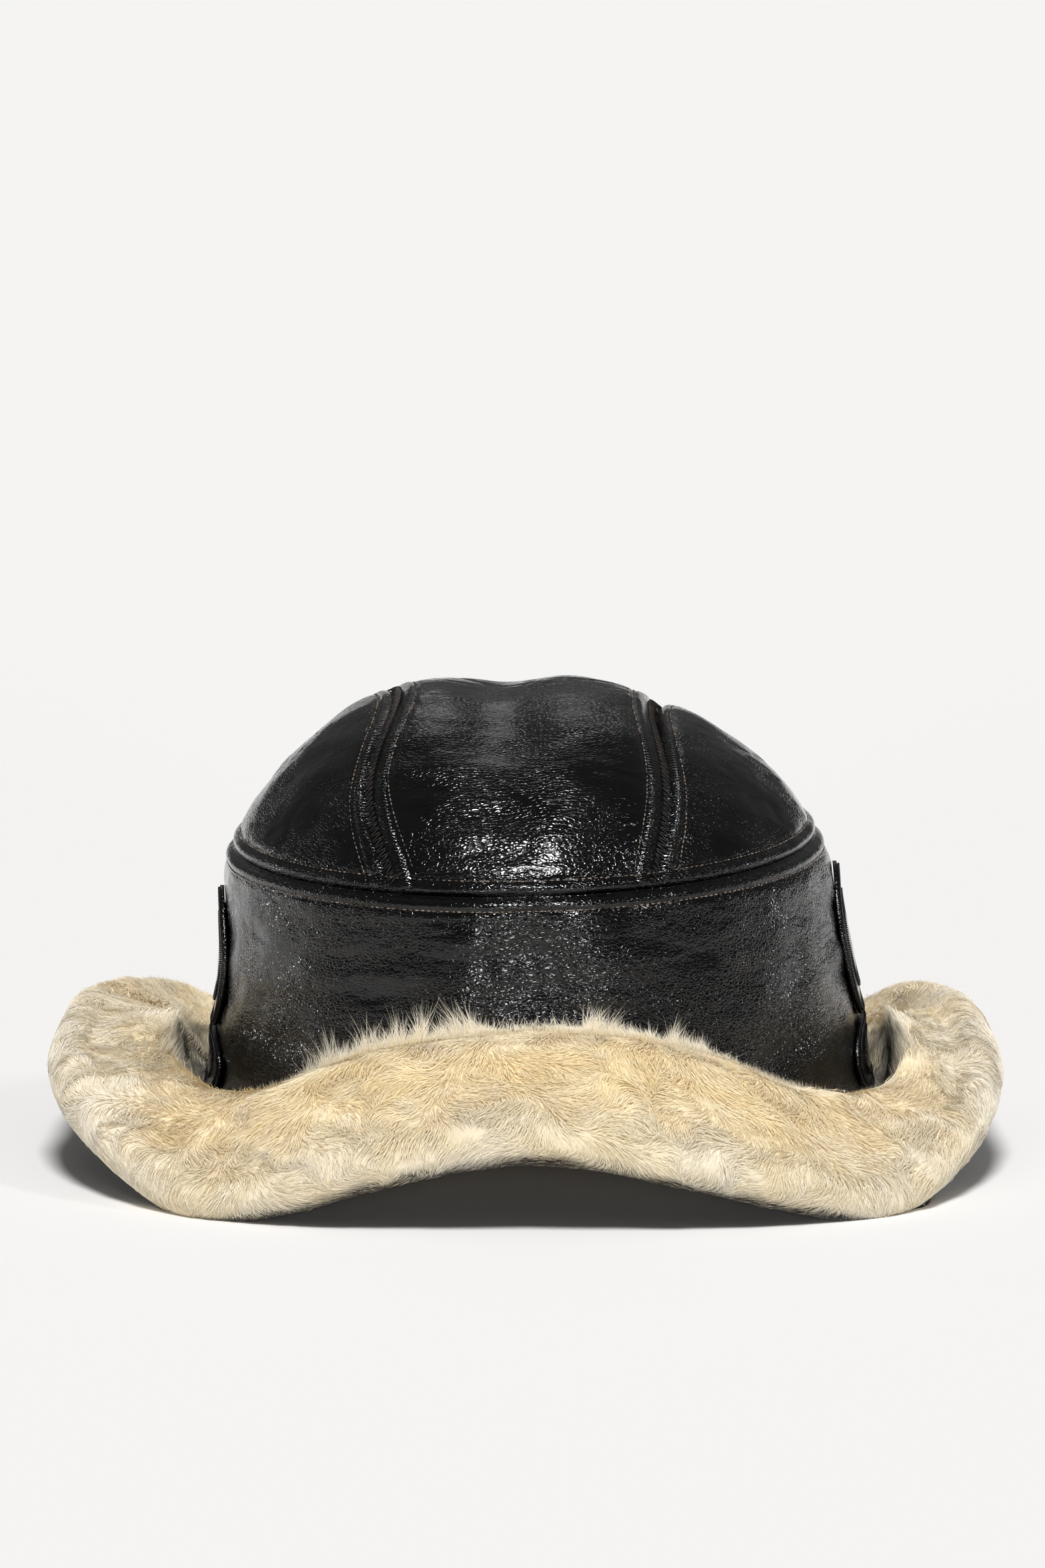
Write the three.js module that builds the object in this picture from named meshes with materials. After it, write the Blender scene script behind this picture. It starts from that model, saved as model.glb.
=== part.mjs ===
// Sheepskin hat: a glossy black leather crown with the wool inside, and a wide
// floppy brim of cream sheepskin with the wool on its upper face.
// Millimetres, +Z up, +X to the wearer's left, the front towards -Y.
// The origin is on the floor under the middle of the hat.

import * as THREE from 'three';
import { mergeVertices } from 'three/addons/utils/BufferGeometryUtils.js';

// Driving dimensions

const SEAM_GAP = 0.4; // clear space between two pieces that are sewn together
const TIP_HALF_WIDTH = 92; // the tip is the top of the crown, sewn from three panels
const TIP_HALF_DEPTH = 102.5;
const TIP_WALL = 8.5; // hide and the wool under it
const TIP_SEAM_HEIGHT = 98; // of the seam that joins the tip to the side band
const TIP_SEAM_TILT = 2; // the seam is this much higher on the +X side, lower on the other
const TIP_SEAM_NOD = 2; // and this much lower in front than behind
const TIP_ROUNDNESS = 2.7;
const TIP_SHOULDER = 0.85;
const PANEL_SEAM_OFFSET = 40; // of the two front-to-back seams from the middle
const PANEL_SEAM_BOW = { left: 8.5, right: 4.5 };
const PANEL_EDGE_SINK = { left: 1.2, centre: 1, right: 4.5 }; // how far each dips into its seams
const PANEL_EDGE_REACH = 4;
const VALLEY = { x: -8, halfWidth: 15, depth: 3, y: -45, halfLength: 32 };

const BAND_WALL = 10;
const BAND_LAP = 6; // the band runs this far down behind the brim's seam
const BRIM_HIDE = 2;
const BRIM_PILE = 15; // length of the wool, square to the hide
const BRIM_ROOT_PILE = 4.5; // where the seam squeezes it
const PILE_FULL_FROM = 0.36; // share of the brim's width where the wool has its full length
// Beside the crown the brim curls up: more wool there makes its lobes bulge, past a trough of short wool
const LOBE_FILL = { angle: 80, reach: 23, from: 0.1, full: 0.45, length: 14, trough: 0.12 };
const LOCK_COUNT = 48; // locks of wool round the brim
const LOCK_HEIGHT = 2.4; // from a lock's top to the hollow between two

const PATCH_THICKNESS = 1.8;
const PATCH_BORDER = 0.6; // how far a patch's corded border stands up
const PATCH_OFFSET = 0.4; // from the band
const PATCH_SQUARENESS = 0.75; // 1 is an ellipse, less is squarer

// Tables

// How high the tip's dome rises over its seam, from side to side
const TIP_RISES = [
  { at: -92, rise: 52.5 },
  { at: -44, rise: 52.5 },
  { at: -28, rise: 50.6 },
  { at: -7, rise: 46.2 },
  { at: 15, rise: 48.6 },
  { at: 30, rise: 48 },
  { at: 40, rise: 46 },
  { at: 54, rise: 46 },
  { at: 92, rise: 45.2 },
];

// Outer skin of the side band, by height
const BAND_SECTIONS = [
  { at: 0, halfWidth: 105, halfDepth: 116, lean: 4.8 },
  { at: 30, halfWidth: 102.5, halfDepth: 113, lean: 4.6 },
  { at: 60, halfWidth: 98.6, halfDepth: 109.5, lean: 3.8 },
  { at: 80, halfWidth: 96.3, halfDepth: 107.6, lean: 2 },
  { at: 91, halfWidth: 95.4, halfDepth: 106.3, lean: 1.2 },
  { at: 97, halfWidth: 93.2, halfDepth: 103.6, lean: 0.9 },
  { at: 101, halfWidth: 91.8, halfDepth: 102.2, lean: 0.8 },
];

// Soft dents and swells of the band: angle from the front, height, reach each way, depth
const BAND_DENTS = [
  { angle: 1, height: 74, angleReach: 6, heightReach: 17, out: -3 },
  { angle: -12, height: 72, angleReach: 8, heightReach: 18, out: 1.2 },
  { angle: 13, height: 72, angleReach: 8, heightReach: 18, out: 1.2 },
  { angle: -58, height: 44, angleReach: 9, heightReach: 14, out: -2.2 },
  { angle: 48, height: 40, angleReach: 9, heightReach: 12, out: -1.6 },
  { angle: 178, height: 66, angleReach: 10, heightReach: 20, out: -2 },
];

// The brim by angle from the front: the height of its seam on the band, and how far
// out from the band and how high the hide's middle and its cut edge are
const BRIM_SECTIONS = [
  { at: -180, seam: 30, middleOut: 19, middleHeight: 20, edgeOut: 37, edgeHeight: 10 },
  { at: -150, seam: 18, middleOut: 22, middleHeight: 8, edgeOut: 43, edgeHeight: -2 },
  { at: -125, seam: 13, middleOut: 24, middleHeight: 13, edgeOut: 47, edgeHeight: 23 },
  { at: -105, seam: 13, middleOut: 24, middleHeight: 16, edgeOut: 47, edgeHeight: 30 },
  { at: -90, seam: 13, middleOut: 24, middleHeight: 16, edgeOut: 47, edgeHeight: 31 },
  { at: -75, seam: 15, middleOut: 26, middleHeight: 12, edgeOut: 53, edgeHeight: 25 },
  { at: -60, seam: 19, middleOut: 27, middleHeight: 12, edgeOut: 55, edgeHeight: 14 },
  { at: -42, seam: 33, middleOut: 25, middleHeight: 14, edgeOut: 48, edgeHeight: -2 },
  { at: -30, seam: 42, middleOut: 23, middleHeight: 25, edgeOut: 43, edgeHeight: 5 },
  { at: -15, seam: 49, middleOut: 20, middleHeight: 34, edgeOut: 39, edgeHeight: 17 },
  { at: 0, seam: 52, middleOut: 18, middleHeight: 37, edgeOut: 37, edgeHeight: 22 },
  { at: 15, seam: 49, middleOut: 20, middleHeight: 34, edgeOut: 39, edgeHeight: 16 },
  { at: 30, seam: 42, middleOut: 23, middleHeight: 23, edgeOut: 43, edgeHeight: 5 },
  { at: 42, seam: 32, middleOut: 25, middleHeight: 14, edgeOut: 46, edgeHeight: -2 },
  { at: 60, seam: 19, middleOut: 26, middleHeight: 11, edgeOut: 47, edgeHeight: 10 },
  { at: 75, seam: 15, middleOut: 24, middleHeight: 13, edgeOut: 44, edgeHeight: 22 },
  { at: 90, seam: 13, middleOut: 22, middleHeight: 17, edgeOut: 39, edgeHeight: 29.5 },
  { at: 105, seam: 13, middleOut: 22.5, middleHeight: 16, edgeOut: 39.5, edgeHeight: 30 },
  { at: 125, seam: 13, middleOut: 23, middleHeight: 11, edgeOut: 44.5, edgeHeight: 22 },
  { at: 150, seam: 18, middleOut: 22, middleHeight: 8, edgeOut: 43, edgeHeight: -2 },
  { at: 180, seam: 30, middleOut: 19, middleHeight: 20, edgeOut: 37, edgeHeight: 10 },
];

// The wool that wraps the brim's cut edge: how far above the hide and past its edge
const BRIM_NOSE = [
  { above: 3, past: 6.4 },
  { above: 9, past: 8 },
];

// Patches on each side of the band: middle height, half width, half height,
// and how much the outline is drawn in at its top
const PATCHES = {
  left: {
    tongue: { middle: 60.8, halfWidth: 19, halfHeight: 22, taper: 0.45 },
    base: { middle: 28.6, halfWidth: 26, halfHeight: 9.2, taper: 0.12 },
  },
  right: {
    tongue: { middle: 66.6, halfWidth: 19, halfHeight: 24, taper: 0.45 },
    base: { middle: 30.8, halfWidth: 26, halfHeight: 11, taper: 0.12 },
  },
};

// Numbers of faces

const BAND_COLUMNS = 72;
const BAND_ROWS = 8;
const BAND_INNER_ROWS = 4;
const BRIM_COLUMNS = 144;
const BRIM_UNDER_STEPS = 5;
const BRIM_TOP_STEPS = 7;
const PANEL_LENGTH_STEPS = 18;
const PANEL_WIDTH_STEPS = 10;
const SIDE_PANEL_WIDTH_STEPS = 7;
const PATCH_SPOKES = 28;
const PATCH_RINGS = [0.45, 0.86, 0.94, 1];

// Helpers

const radians = THREE.MathUtils.degToRad;
const lerp = THREE.MathUtils.lerp;
const bell = (distance, reach) => Math.exp(-((distance / reach) ** 2));

// Smooth value of a table's column between its rows, level at its two ends
function column(table, key, at) {
  const last = table.length - 1;
  const place = THREE.MathUtils.clamp(at, table[0].at, table[last].at);
  let row = 0;
  while (row < last - 1 && place > table[row + 1].at) {
    row += 1;
  }
  const slope = (i) => {
    if (i === 0 || i === last) {
      return 0;
    }
    return (table[i + 1][key] - table[i - 1][key]) / (table[i + 1].at - table[i - 1].at);
  };
  const step = table[row + 1].at - table[row].at;
  const t = (place - table[row].at) / step;
  const rise = slope(row) * step;
  const fall = slope(row + 1) * step;
  const from = table[row][key];
  const to = table[row + 1][key];
  const bend = 2 * (from - to) + rise + fall;
  return from + t * (rise + t * (3 * (to - from) - 2 * rise - fall + t * bend));
}

// Closed mesh from points and faces, with doubled points joined and empty faces left out
function solid(points, faces) {
  const geometry = new THREE.BufferGeometry();
  const coordinates = points.flatMap((p) => [...p]);
  geometry.setAttribute('position', new THREE.Float32BufferAttribute(coordinates, 3));
  geometry.setIndex(faces.flat());
  const merged = mergeVertices(geometry, 1e-3);
  const index = merged.getIndex().array;
  const kept = [];
  for (let i = 0; i < index.length; i += 3) {
    const [a, b, c] = index.slice(i, i + 3);
    if (a !== b && b !== c && c !== a) {
      kept.push(a, b, c);
    }
  }
  merged.setIndex(kept);
  merged.computeVertexNormals();
  return merged;
}

// Two triangles of a grid's cell
function cell(a, b, c, d) {
  return [[a, b, c], [a, c, d]];
}

// Ring-shaped solid: a closed section, worked out at each angle round the hat
function ringSolid(columns, sectionAt) {
  const points = [];
  const faces = [];
  let size = 0;
  for (let i = 0; i < columns; i += 1) {
    const section = sectionAt(-180 + (360 * i) / columns);
    size = section.length;
    points.push(...section);
  }
  for (let i = 0; i < columns; i += 1) {
    const next = (i + 1) % columns;
    for (let j = 0; j < size; j += 1) {
      const over = (j + 1) % size;
      faces.push(...cell(i * size + j, next * size + j, next * size + over, i * size + over));
    }
  }
  return solid(points, faces);
}

// Wall between an outer and an inner grid of the same size
function wallSolid(across, along, pointAt) {
  const points = [];
  const faces = [];
  const size = (across + 1) * (along + 1);
  for (const side of ['outer', 'inner']) {
    for (let j = 0; j <= along; j += 1) {
      for (let i = 0; i <= across; i += 1) {
        points.push(pointAt(i / across, j / along, side));
      }
    }
  }
  const at = (i, j) => j * (across + 1) + i;
  for (let j = 0; j < along; j += 1) {
    for (let i = 0; i < across; i += 1) {
      const [a, b, c, d] = [at(i, j), at(i + 1, j), at(i + 1, j + 1), at(i, j + 1)];
      faces.push(...cell(a, b, c, d));
      faces.push(...cell(a + size, d + size, c + size, b + size));
    }
  }
  const rim = (a, b) => faces.push(...cell(a, a + size, b + size, b));
  for (let i = 0; i < across; i += 1) {
    rim(at(i, 0), at(i + 1, 0));
    rim(at(i + 1, along), at(i, along));
  }
  for (let j = 0; j < along; j += 1) {
    rim(at(0, j + 1), at(0, j));
    rim(at(across, j), at(across, j + 1));
  }
  return solid(points, faces);
}

// Side band

function tipSeamHeight(angle) {
  const turn = radians(angle);
  return TIP_SEAM_HEIGHT + TIP_SEAM_TILT * Math.sin(turn) - TIP_SEAM_NOD * Math.cos(turn);
}

// A point at an angle from the front and a height, some way out from the band's skin
function bandPoint(angle, height, out) {
  const turn = radians(angle);
  const halfWidth = column(BAND_SECTIONS, 'halfWidth', height);
  const halfDepth = column(BAND_SECTIONS, 'halfDepth', height);
  const square = new THREE.Vector2(Math.sin(turn) / halfWidth, -Math.cos(turn) / halfDepth);
  square.normalize();
  let reach = out;
  for (const dent of BAND_DENTS) {
    const off = THREE.MathUtils.euclideanModulo(angle - dent.angle + 180, 360) - 180;
    reach += dent.out * bell(off, dent.angleReach) * bell(height - dent.height, dent.heightReach);
  }
  return new THREE.Vector3(
    column(BAND_SECTIONS, 'lean', height) + halfWidth * Math.sin(turn) + reach * square.x,
    -halfDepth * Math.cos(turn) + reach * square.y,
    height,
  );
}

function bandSection(angle) {
  const bottom = column(BRIM_SECTIONS, 'seam', angle) - BAND_LAP;
  const top = tipSeamHeight(angle) - SEAM_GAP / 2;
  const section = [];
  for (let i = 0; i <= BAND_ROWS; i += 1) {
    section.push(bandPoint(angle, lerp(bottom, top, i / BAND_ROWS), 0));
  }
  for (let i = BAND_INNER_ROWS; i >= 0; i -= 1) {
    section.push(bandPoint(angle, lerp(bottom, top, i / BAND_INNER_ROWS), -BAND_WALL));
  }
  return section;
}

// Brim

// A point of the brim's section: share of the way from seam to edge, and how far above the hide
function brimPoint(angle, share, above, past = 0) {
  const value = (key) => column(BRIM_SECTIONS, key, angle);
  const start = new THREE.Vector2(SEAM_GAP + BRIM_HIDE / 2, value('seam'));
  const middle = new THREE.Vector2(value('middleOut'), value('middleHeight'));
  const end = new THREE.Vector2(value('edgeOut'), value('edgeHeight') + BRIM_HIDE / 2);
  const pull = middle.clone().multiplyScalar(2).sub(start.clone().add(end).multiplyScalar(0.5));
  const hide = new THREE.QuadraticBezierCurve(start, pull, end);
  const along = hide.getTangent(share);
  const place = hide.getPoint(share);
  place.x += -along.y * above + along.x * past;
  place.y += along.x * above + along.y * past;
  return bandPoint(angle, Math.max(place.y, 0), Math.max(place.x, SEAM_GAP));
}

// Length of the wool along the section, with its locks
function pileAt(angle, share) {
  const beside = bell(Math.abs(angle) - LOBE_FILL.angle, LOBE_FILL.reach);
  const grown = THREE.MathUtils.clamp((share - LOBE_FILL.trough * beside) / PILE_FULL_FROM, 0, 1);
  const full = Math.sin(grown * (Math.PI / 2));
  const rise = THREE.MathUtils.smoothstep(share, LOBE_FILL.from, LOBE_FILL.full);
  const fill = LOBE_FILL.length * beside * rise * (1 - share ** 5);
  const row = Math.round(share * BRIM_TOP_STEPS);
  const wave = Math.cos(radians(angle) * LOCK_COUNT + (row % 2) * Math.PI);
  return lerp(BRIM_ROOT_PILE, BRIM_PILE, full) + fill + (LOCK_HEIGHT / 2) * wave * full;
}

function brimSection(angle) {
  const section = [];
  for (let i = 0; i <= BRIM_UNDER_STEPS; i += 1) {
    section.push(brimPoint(angle, i / BRIM_UNDER_STEPS, -BRIM_HIDE / 2));
  }
  for (const { above, past } of BRIM_NOSE) {
    section.push(brimPoint(angle, 1, above, past));
  }
  for (let i = BRIM_TOP_STEPS; i >= 0; i -= 1) {
    const share = i / BRIM_TOP_STEPS;
    section.push(brimPoint(angle, share, BRIM_HIDE / 2 + pileAt(angle, share)));
  }
  return section;
}

// Tip

// How far a front-to-back seam lies from the middle, from -1 in front to 1 behind
function panelSeam(side, along) {
  const bow = PANEL_SEAM_BOW[side] * Math.sin(Math.PI * along ** 2);
  return (side === 'left' ? -1 : 1) * (PANEL_SEAM_OFFSET + bow);
}

// Plan point of a seam, on the ellipse that the share along it gives
function seamPlan(x, along) {
  return new THREE.Vector2(x, along * TIP_HALF_DEPTH * Math.sqrt(1 - (x / TIP_HALF_WIDTH) ** 2));
}

function tipPoint(plan, sink, side) {
  const share = Math.min(Math.hypot(plan.x / TIP_HALF_WIDTH, plan.y / TIP_HALF_DEPTH), 1);
  const seam = tipSeamHeight(THREE.MathUtils.radToDeg(Math.atan2(plan.x, -plan.y))) + SEAM_GAP / 2;
  const base = lerp(TIP_SEAM_HEIGHT, seam, share);
  const swell = (1 - share ** TIP_ROUNDNESS) ** TIP_SHOULDER;
  const valleyAcross = bell(plan.x - VALLEY.x, VALLEY.halfWidth);
  const valleyAlong = bell(plan.y - VALLEY.y, VALLEY.halfLength);
  const dip = VALLEY.depth * valleyAcross * valleyAlong;
  const crest = column(TIP_RISES, 'rise', plan.x);
  const rise = crest * swell - (dip + sink) * Math.min(swell * 2, 1);
  const isInner = side === 'inner';
  return new THREE.Vector3(
    plan.x * (isInner ? 1 - TIP_WALL / TIP_HALF_WIDTH : 1),
    plan.y * (isInner ? 1 - TIP_WALL / TIP_HALF_DEPTH : 1),
    base + rise * (isInner ? 1 - TIP_WALL / crest : 1),
  );
}

// Spreads the rows of a panel so that they are closer at the front and the back
const spread = (share) => Math.sin((share - 0.5) * Math.PI);

function centrePanel(across, along, side) {
  const place = spread(along);
  const left = panelSeam('left', place) + SEAM_GAP / 2;
  const right = panelSeam('right', place) - SEAM_GAP / 2;
  const x = lerp(left, right, across);
  const nearSeams = bell(x - left, PANEL_EDGE_REACH) + bell(right - x, PANEL_EDGE_REACH);
  const sink = PANEL_EDGE_SINK.centre * nearSeams;
  return tipPoint(seamPlan(x, place), sink, side);
}

function sidePanel(name) {
  const sign = name === 'left' ? -1 : 1;
  const corner = Math.asin(PANEL_SEAM_OFFSET / TIP_HALF_WIDTH);
  return (across, along, side) => {
    const place = spread(along);
    const inner = seamPlan(panelSeam(name, place) + (sign * SEAM_GAP) / 2, place);
    const turn = Math.PI / 2 + place * (Math.PI / 2 - corner);
    const rimX = sign * TIP_HALF_WIDTH * Math.sin(turn);
    const rim = new THREE.Vector2(rimX, -TIP_HALF_DEPTH * Math.cos(turn));
    const fromSeam = sign < 0 ? 1 - across : across;
    const plan = inner.clone().lerp(rim, fromSeam);
    const sink = PANEL_EDGE_SINK[name] * bell(plan.distanceTo(inner), PANEL_EDGE_REACH);
    return tipPoint(plan, sink, side);
  };
}

// Patches

// Turns a circle's sine or cosine into that of a rounder square
const squared = (value) => Math.sign(value) * Math.abs(value) ** PATCH_SQUARENESS;

function patchSolid(sign, shape) {
  const points = [];
  const faces = [];
  const rings = PATCH_RINGS.length;
  const centreAngle = sign * 90;
  const place = (share, spoke, out) => {
    const turn = (spoke / PATCH_SPOKES) * 2 * Math.PI;
    const up = squared(Math.sin(turn));
    const narrow = 1 - shape.taper * Math.max(up, 0) ** 1.5;
    const side = squared(Math.cos(turn)) * narrow;
    const aside = THREE.MathUtils.radToDeg((shape.halfWidth * share * side) / TIP_HALF_DEPTH);
    return bandPoint(centreAngle + sign * aside, shape.middle + shape.halfHeight * share * up, out);
  };
  const isBorder = (ring) => ring > 0 && ring < rings - 1;
  for (let ring = 0; ring < rings; ring += 1) {
    const top = PATCH_OFFSET + PATCH_THICKNESS + (isBorder(ring) ? PATCH_BORDER : 0);
    for (let spoke = 0; spoke < PATCH_SPOKES; spoke += 1) {
      points.push(place(PATCH_RINGS[ring], spoke, top));
      points.push(place(PATCH_RINGS[ring], spoke, PATCH_OFFSET));
    }
  }
  const hub = points.length;
  points.push(place(0, 0, PATCH_OFFSET + PATCH_THICKNESS), place(0, 0, PATCH_OFFSET));
  const at = (ring, spoke, under) => 2 * (ring * PATCH_SPOKES + (spoke % PATCH_SPOKES)) + under;
  const turned = (face) => (sign > 0 ? face : [...face].reverse());
  for (let spoke = 0; spoke < PATCH_SPOKES; spoke += 1) {
    faces.push(turned([hub, at(0, spoke, 0), at(0, spoke + 1, 0)]));
    faces.push(turned([hub + 1, at(0, spoke + 1, 1), at(0, spoke, 1)]));
    for (let ring = 0; ring < rings - 1; ring += 1) {
      const corners = (under) => [
        at(ring, spoke, under),
        at(ring + 1, spoke, under),
        at(ring + 1, spoke + 1, under),
        at(ring, spoke + 1, under),
      ];
      faces.push(...cell(...corners(0)).map(turned));
      faces.push(...cell(...corners(1).reverse()).map(turned));
    }
    const last = rings - 1;
    const edge = cell(at(last, spoke, 0), at(last, spoke, 1), at(last, spoke + 1, 1), at(last, spoke + 1, 0));
    faces.push(...edge.map(turned));
  }
  return solid(points, faces);
}

// Materials

const LEATHER_LOOK = { color: 0x141313, roughness: 0.32, metalness: 0 };
const WOOL_LOOK = { color: 0xe3d2a4, roughness: 0.95, metalness: 0 };

const leather = (name) => new THREE.MeshStandardMaterial({ name, ...LEATHER_LOOK });
const wool = (name) => new THREE.MeshStandardMaterial({ name, ...WOOL_LOOK });

// Assembly

const hat = new THREE.Group();
hat.name = 'sheepskin_hat';

function add(name, geometry, material) {
  const mesh = new THREE.Mesh(geometry, material);
  mesh.name = name;
  hat.add(mesh);
}

add('centre_panel', wallSolid(PANEL_WIDTH_STEPS, PANEL_LENGTH_STEPS, centrePanel), leather('centre_leather'));
for (const side of ['left', 'right']) {
  const panel = wallSolid(SIDE_PANEL_WIDTH_STEPS, PANEL_LENGTH_STEPS, sidePanel(side));
  add(`${side}_panel`, panel, leather(`${side}_leather`));
}
add('side_band', ringSolid(BAND_COLUMNS, bandSection), leather('band_leather'));
add('brim', ringSolid(BRIM_COLUMNS, brimSection), wool('cream_sheepskin'));
for (const [side, sign] of [['left', -1], ['right', 1]]) {
  for (const [part, shape] of Object.entries(PATCHES[side])) {
    add(`${side}_patch_${part}`, patchSolid(sign, shape), leather(`${side}_${part}_leather`));
  }
}

export default hat;
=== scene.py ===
# Looks of the sheepskin hat: glossy black hide sewn over the crown, a brim of
# cream wool, the seams' threads and the patches on its two sides.
# Blender works in metres; the sizes below are millimetres, and angles are degrees
# from the front, positive towards +X.

import math

import bmesh
import bpy
import numpy as np
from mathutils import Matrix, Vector


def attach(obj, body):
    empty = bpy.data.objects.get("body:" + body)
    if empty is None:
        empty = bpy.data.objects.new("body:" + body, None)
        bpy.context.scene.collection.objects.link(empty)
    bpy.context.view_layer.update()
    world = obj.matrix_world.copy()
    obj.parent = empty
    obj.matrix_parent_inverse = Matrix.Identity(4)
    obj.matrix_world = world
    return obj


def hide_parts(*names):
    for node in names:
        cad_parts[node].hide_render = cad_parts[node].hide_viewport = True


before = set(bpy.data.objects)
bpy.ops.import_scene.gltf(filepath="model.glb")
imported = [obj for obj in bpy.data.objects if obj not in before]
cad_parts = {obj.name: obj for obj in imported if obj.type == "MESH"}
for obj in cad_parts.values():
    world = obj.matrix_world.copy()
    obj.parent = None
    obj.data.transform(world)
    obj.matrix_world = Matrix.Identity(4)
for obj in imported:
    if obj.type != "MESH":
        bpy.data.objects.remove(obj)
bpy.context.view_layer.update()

MM = 0.001
BODY = "root"

# Driving dimensions, the same as those of the solids

SEAM_GAP = 0.4
TIP_HALF_WIDTH = 92
TIP_HALF_DEPTH = 102.5
TIP_SEAM_HEIGHT = 98
TIP_SEAM_TILT = 2
TIP_SEAM_NOD = 2
TIP_ROUNDNESS = 2.7
TIP_SHOULDER = 0.85
PANEL_SEAM_OFFSET = 40
PANEL_SEAM_BOW = {"left": 8.5, "right": 4.5}
PANEL_EDGE_SINK = {"left": 1.2, "centre": 1, "right": 1.4}
RIGHT_STEP = {"sink": 3.1, "reach": 46}  # the right panel sinks deeper into its seam on the crest
PANEL_EDGE_REACH = 4
VALLEY = {"x": -8, "half_width": 15, "depth": 3, "y": -45, "half_length": 32}
BAND_LAP = 6
BRIM_HIDE = 2
BRIM_PILE = 15
BRIM_ROOT_PILE = 4.5
PILE_FULL_FROM = 0.36
PATCH_OFFSET = 0.4
PATCH_SQUARENESS = 0.75

# Sizes that only the looks have

HIDE_WALL = 1.6  # finished skin without its wool
HIDE_GAP = 0.1  # what shows of the gap between two hides sewn together
FLEECE_DEPTH = 2.2  # from the skin's face to the wool on its inside
FLEECE_WALL = 6
BAND_FLEECE_WALL = 7.4
LINING_LOCKS = (7, 7, 7)  # size of the soft locks of the wool inside
LADDER_HALF_WIDTH = 1.7  # of the strip of cross stitches along a long seam
RIDGE_OFFSET = 3.9  # from a long seam to the top of the padded ridge beside it
TOPSTITCH_OFFSET = 6.1  # from the seam to the row of stitches beside it
RIM_TOPSTITCH = {"tip": 5.2, "band": 4.2}
PUCKER_PITCH = 1.9  # along a ridge, where the stitches gather it
CALM_REACH = 7  # how near a seam the folds of the hide die out
FAR_FROM_SEAMS = 40  # where no long seam is near
TIP_CREST = 50  # about how high the tip rises over its seam

# Cells of each sheet, across and along or only round it
CELLS = {"centre": (84, 190), "side": (50, 165), "lining": (26, 64)}
CELLS_ROUND = {"band": 380, "band_fleece": 200, "brim_hide": 380, "brim_body": 400, "patch": 104}

# Tables, the same as those of the solids

TIP_RISES = {
    "at": [-92, -44, -28, -7, 15, 30, 40, 54, 92],
    "rise": [52.5, 52.5, 50.6, 46.2, 48.6, 48, 46, 46, 45.2],
}
BAND_SECTIONS = {
    "at": [0, 30, 60, 80, 91, 97, 101],
    "half_width": [105, 102.5, 98.6, 96.3, 95.4, 93.2, 91.8],
    "half_depth": [116, 113, 109.5, 107.6, 106.3, 103.6, 102.2],
    "lean": [4.8, 4.6, 3.8, 2, 1.2, 0.9, 0.8],
}
BAND_DENTS = [
    {"angle": 1, "height": 74, "angle_reach": 6, "height_reach": 17, "out": -3},
    {"angle": -12, "height": 72, "angle_reach": 8, "height_reach": 18, "out": 1.2},
    {"angle": 13, "height": 72, "angle_reach": 8, "height_reach": 18, "out": 1.2},
    {"angle": -58, "height": 44, "angle_reach": 9, "height_reach": 14, "out": -2.2},
    {"angle": 48, "height": 40, "angle_reach": 9, "height_reach": 12, "out": -1.6},
    {"angle": 178, "height": 66, "angle_reach": 10, "height_reach": 20, "out": -2},
]
BRIM_SECTIONS = {
    "at": [-180, -150, -125, -105, -90, -75, -60, -42, -30, -15, 0]
    + [15, 30, 42, 60, 75, 90, 105, 125, 150, 180],
    "seam": [30, 18, 13, 13, 13, 15, 19, 33, 42, 49, 52]
    + [49, 42, 32, 19, 15, 13, 13, 13, 18, 30],
    "middle_out": [19, 22, 24, 24, 24, 26, 27, 25, 23, 20, 18]
    + [20, 23, 25, 26, 24, 22, 22.5, 23, 22, 19],
    "middle_height": [20, 8, 13, 16, 16, 12, 12, 14, 25, 34, 37]
    + [34, 23, 14, 11, 13, 17, 16, 11, 8, 20],
    "edge_out": [37, 43, 47, 47, 47, 53, 55, 48, 43, 39, 37]
    + [39, 43, 46, 47, 44, 39, 39.5, 44.5, 43, 37],
    "edge_height": [10, -2, 23, 30, 31, 25, 14, -2, 5, 17, 22]
    + [16, 5, -2, 10, 22, 29.5, 30, 22, -2, 10],
}
PATCHES = {
    "left_patch_tongue": {"side": -1, "middle": 60.8, "half_width": 19, "half_height": 22, "taper": 0.45},
    "left_patch_base": {"side": -1, "middle": 28.6, "half_width": 26, "half_height": 9.2, "taper": 0.12},
    "right_patch_tongue": {"side": 1, "middle": 66.6, "half_width": 19, "half_height": 24, "taper": 0.45},
    "right_patch_base": {"side": 1, "middle": 30.8, "half_width": 26, "half_height": 11, "taper": 0.12},
}

# Where the hide's grain is coarser than elsewhere
COARSE_PLACES = [
    {"middle": [-5, -45, 138], "reach": 24, "more": 0.7},
    {"middle": [0, -88, 118], "reach": 26, "more": 0.3},
    {"middle": [-62, -76, 112], "reach": 20, "more": 0.8},
    {"middle": [4, -112, 70], "reach": 27, "more": 0.35},
    {"middle": [-90, -62, 42], "reach": 28, "more": 1.3},
    {"middle": [74, -84, 60], "reach": 30, "more": 0.7},
]

# Beside the crown the brim curls up: more wool there makes its lobes bulge, past a trough of short wool
LOBE_FILL = {"angle": 80, "reach": 23, "from": 0.1, "full": 0.45, "length": 14, "trough": 0.12}

# Length of the wool round the brim's cut edge, by degrees turned from square to the hide
NOSE_PILE = {"at": [0, 40, 66, 100, 130], "length": [15, 12.4, 7.6, 4.4, 3]}
NOSE_TURN = 130
NOSE_SHARE = 0.42  # how much longer than the brim's width the wool's surface is, for the nose


# Numbers and shapes


def bell(distance, reach):
    return np.exp(-((distance / reach) ** 2))


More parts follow.
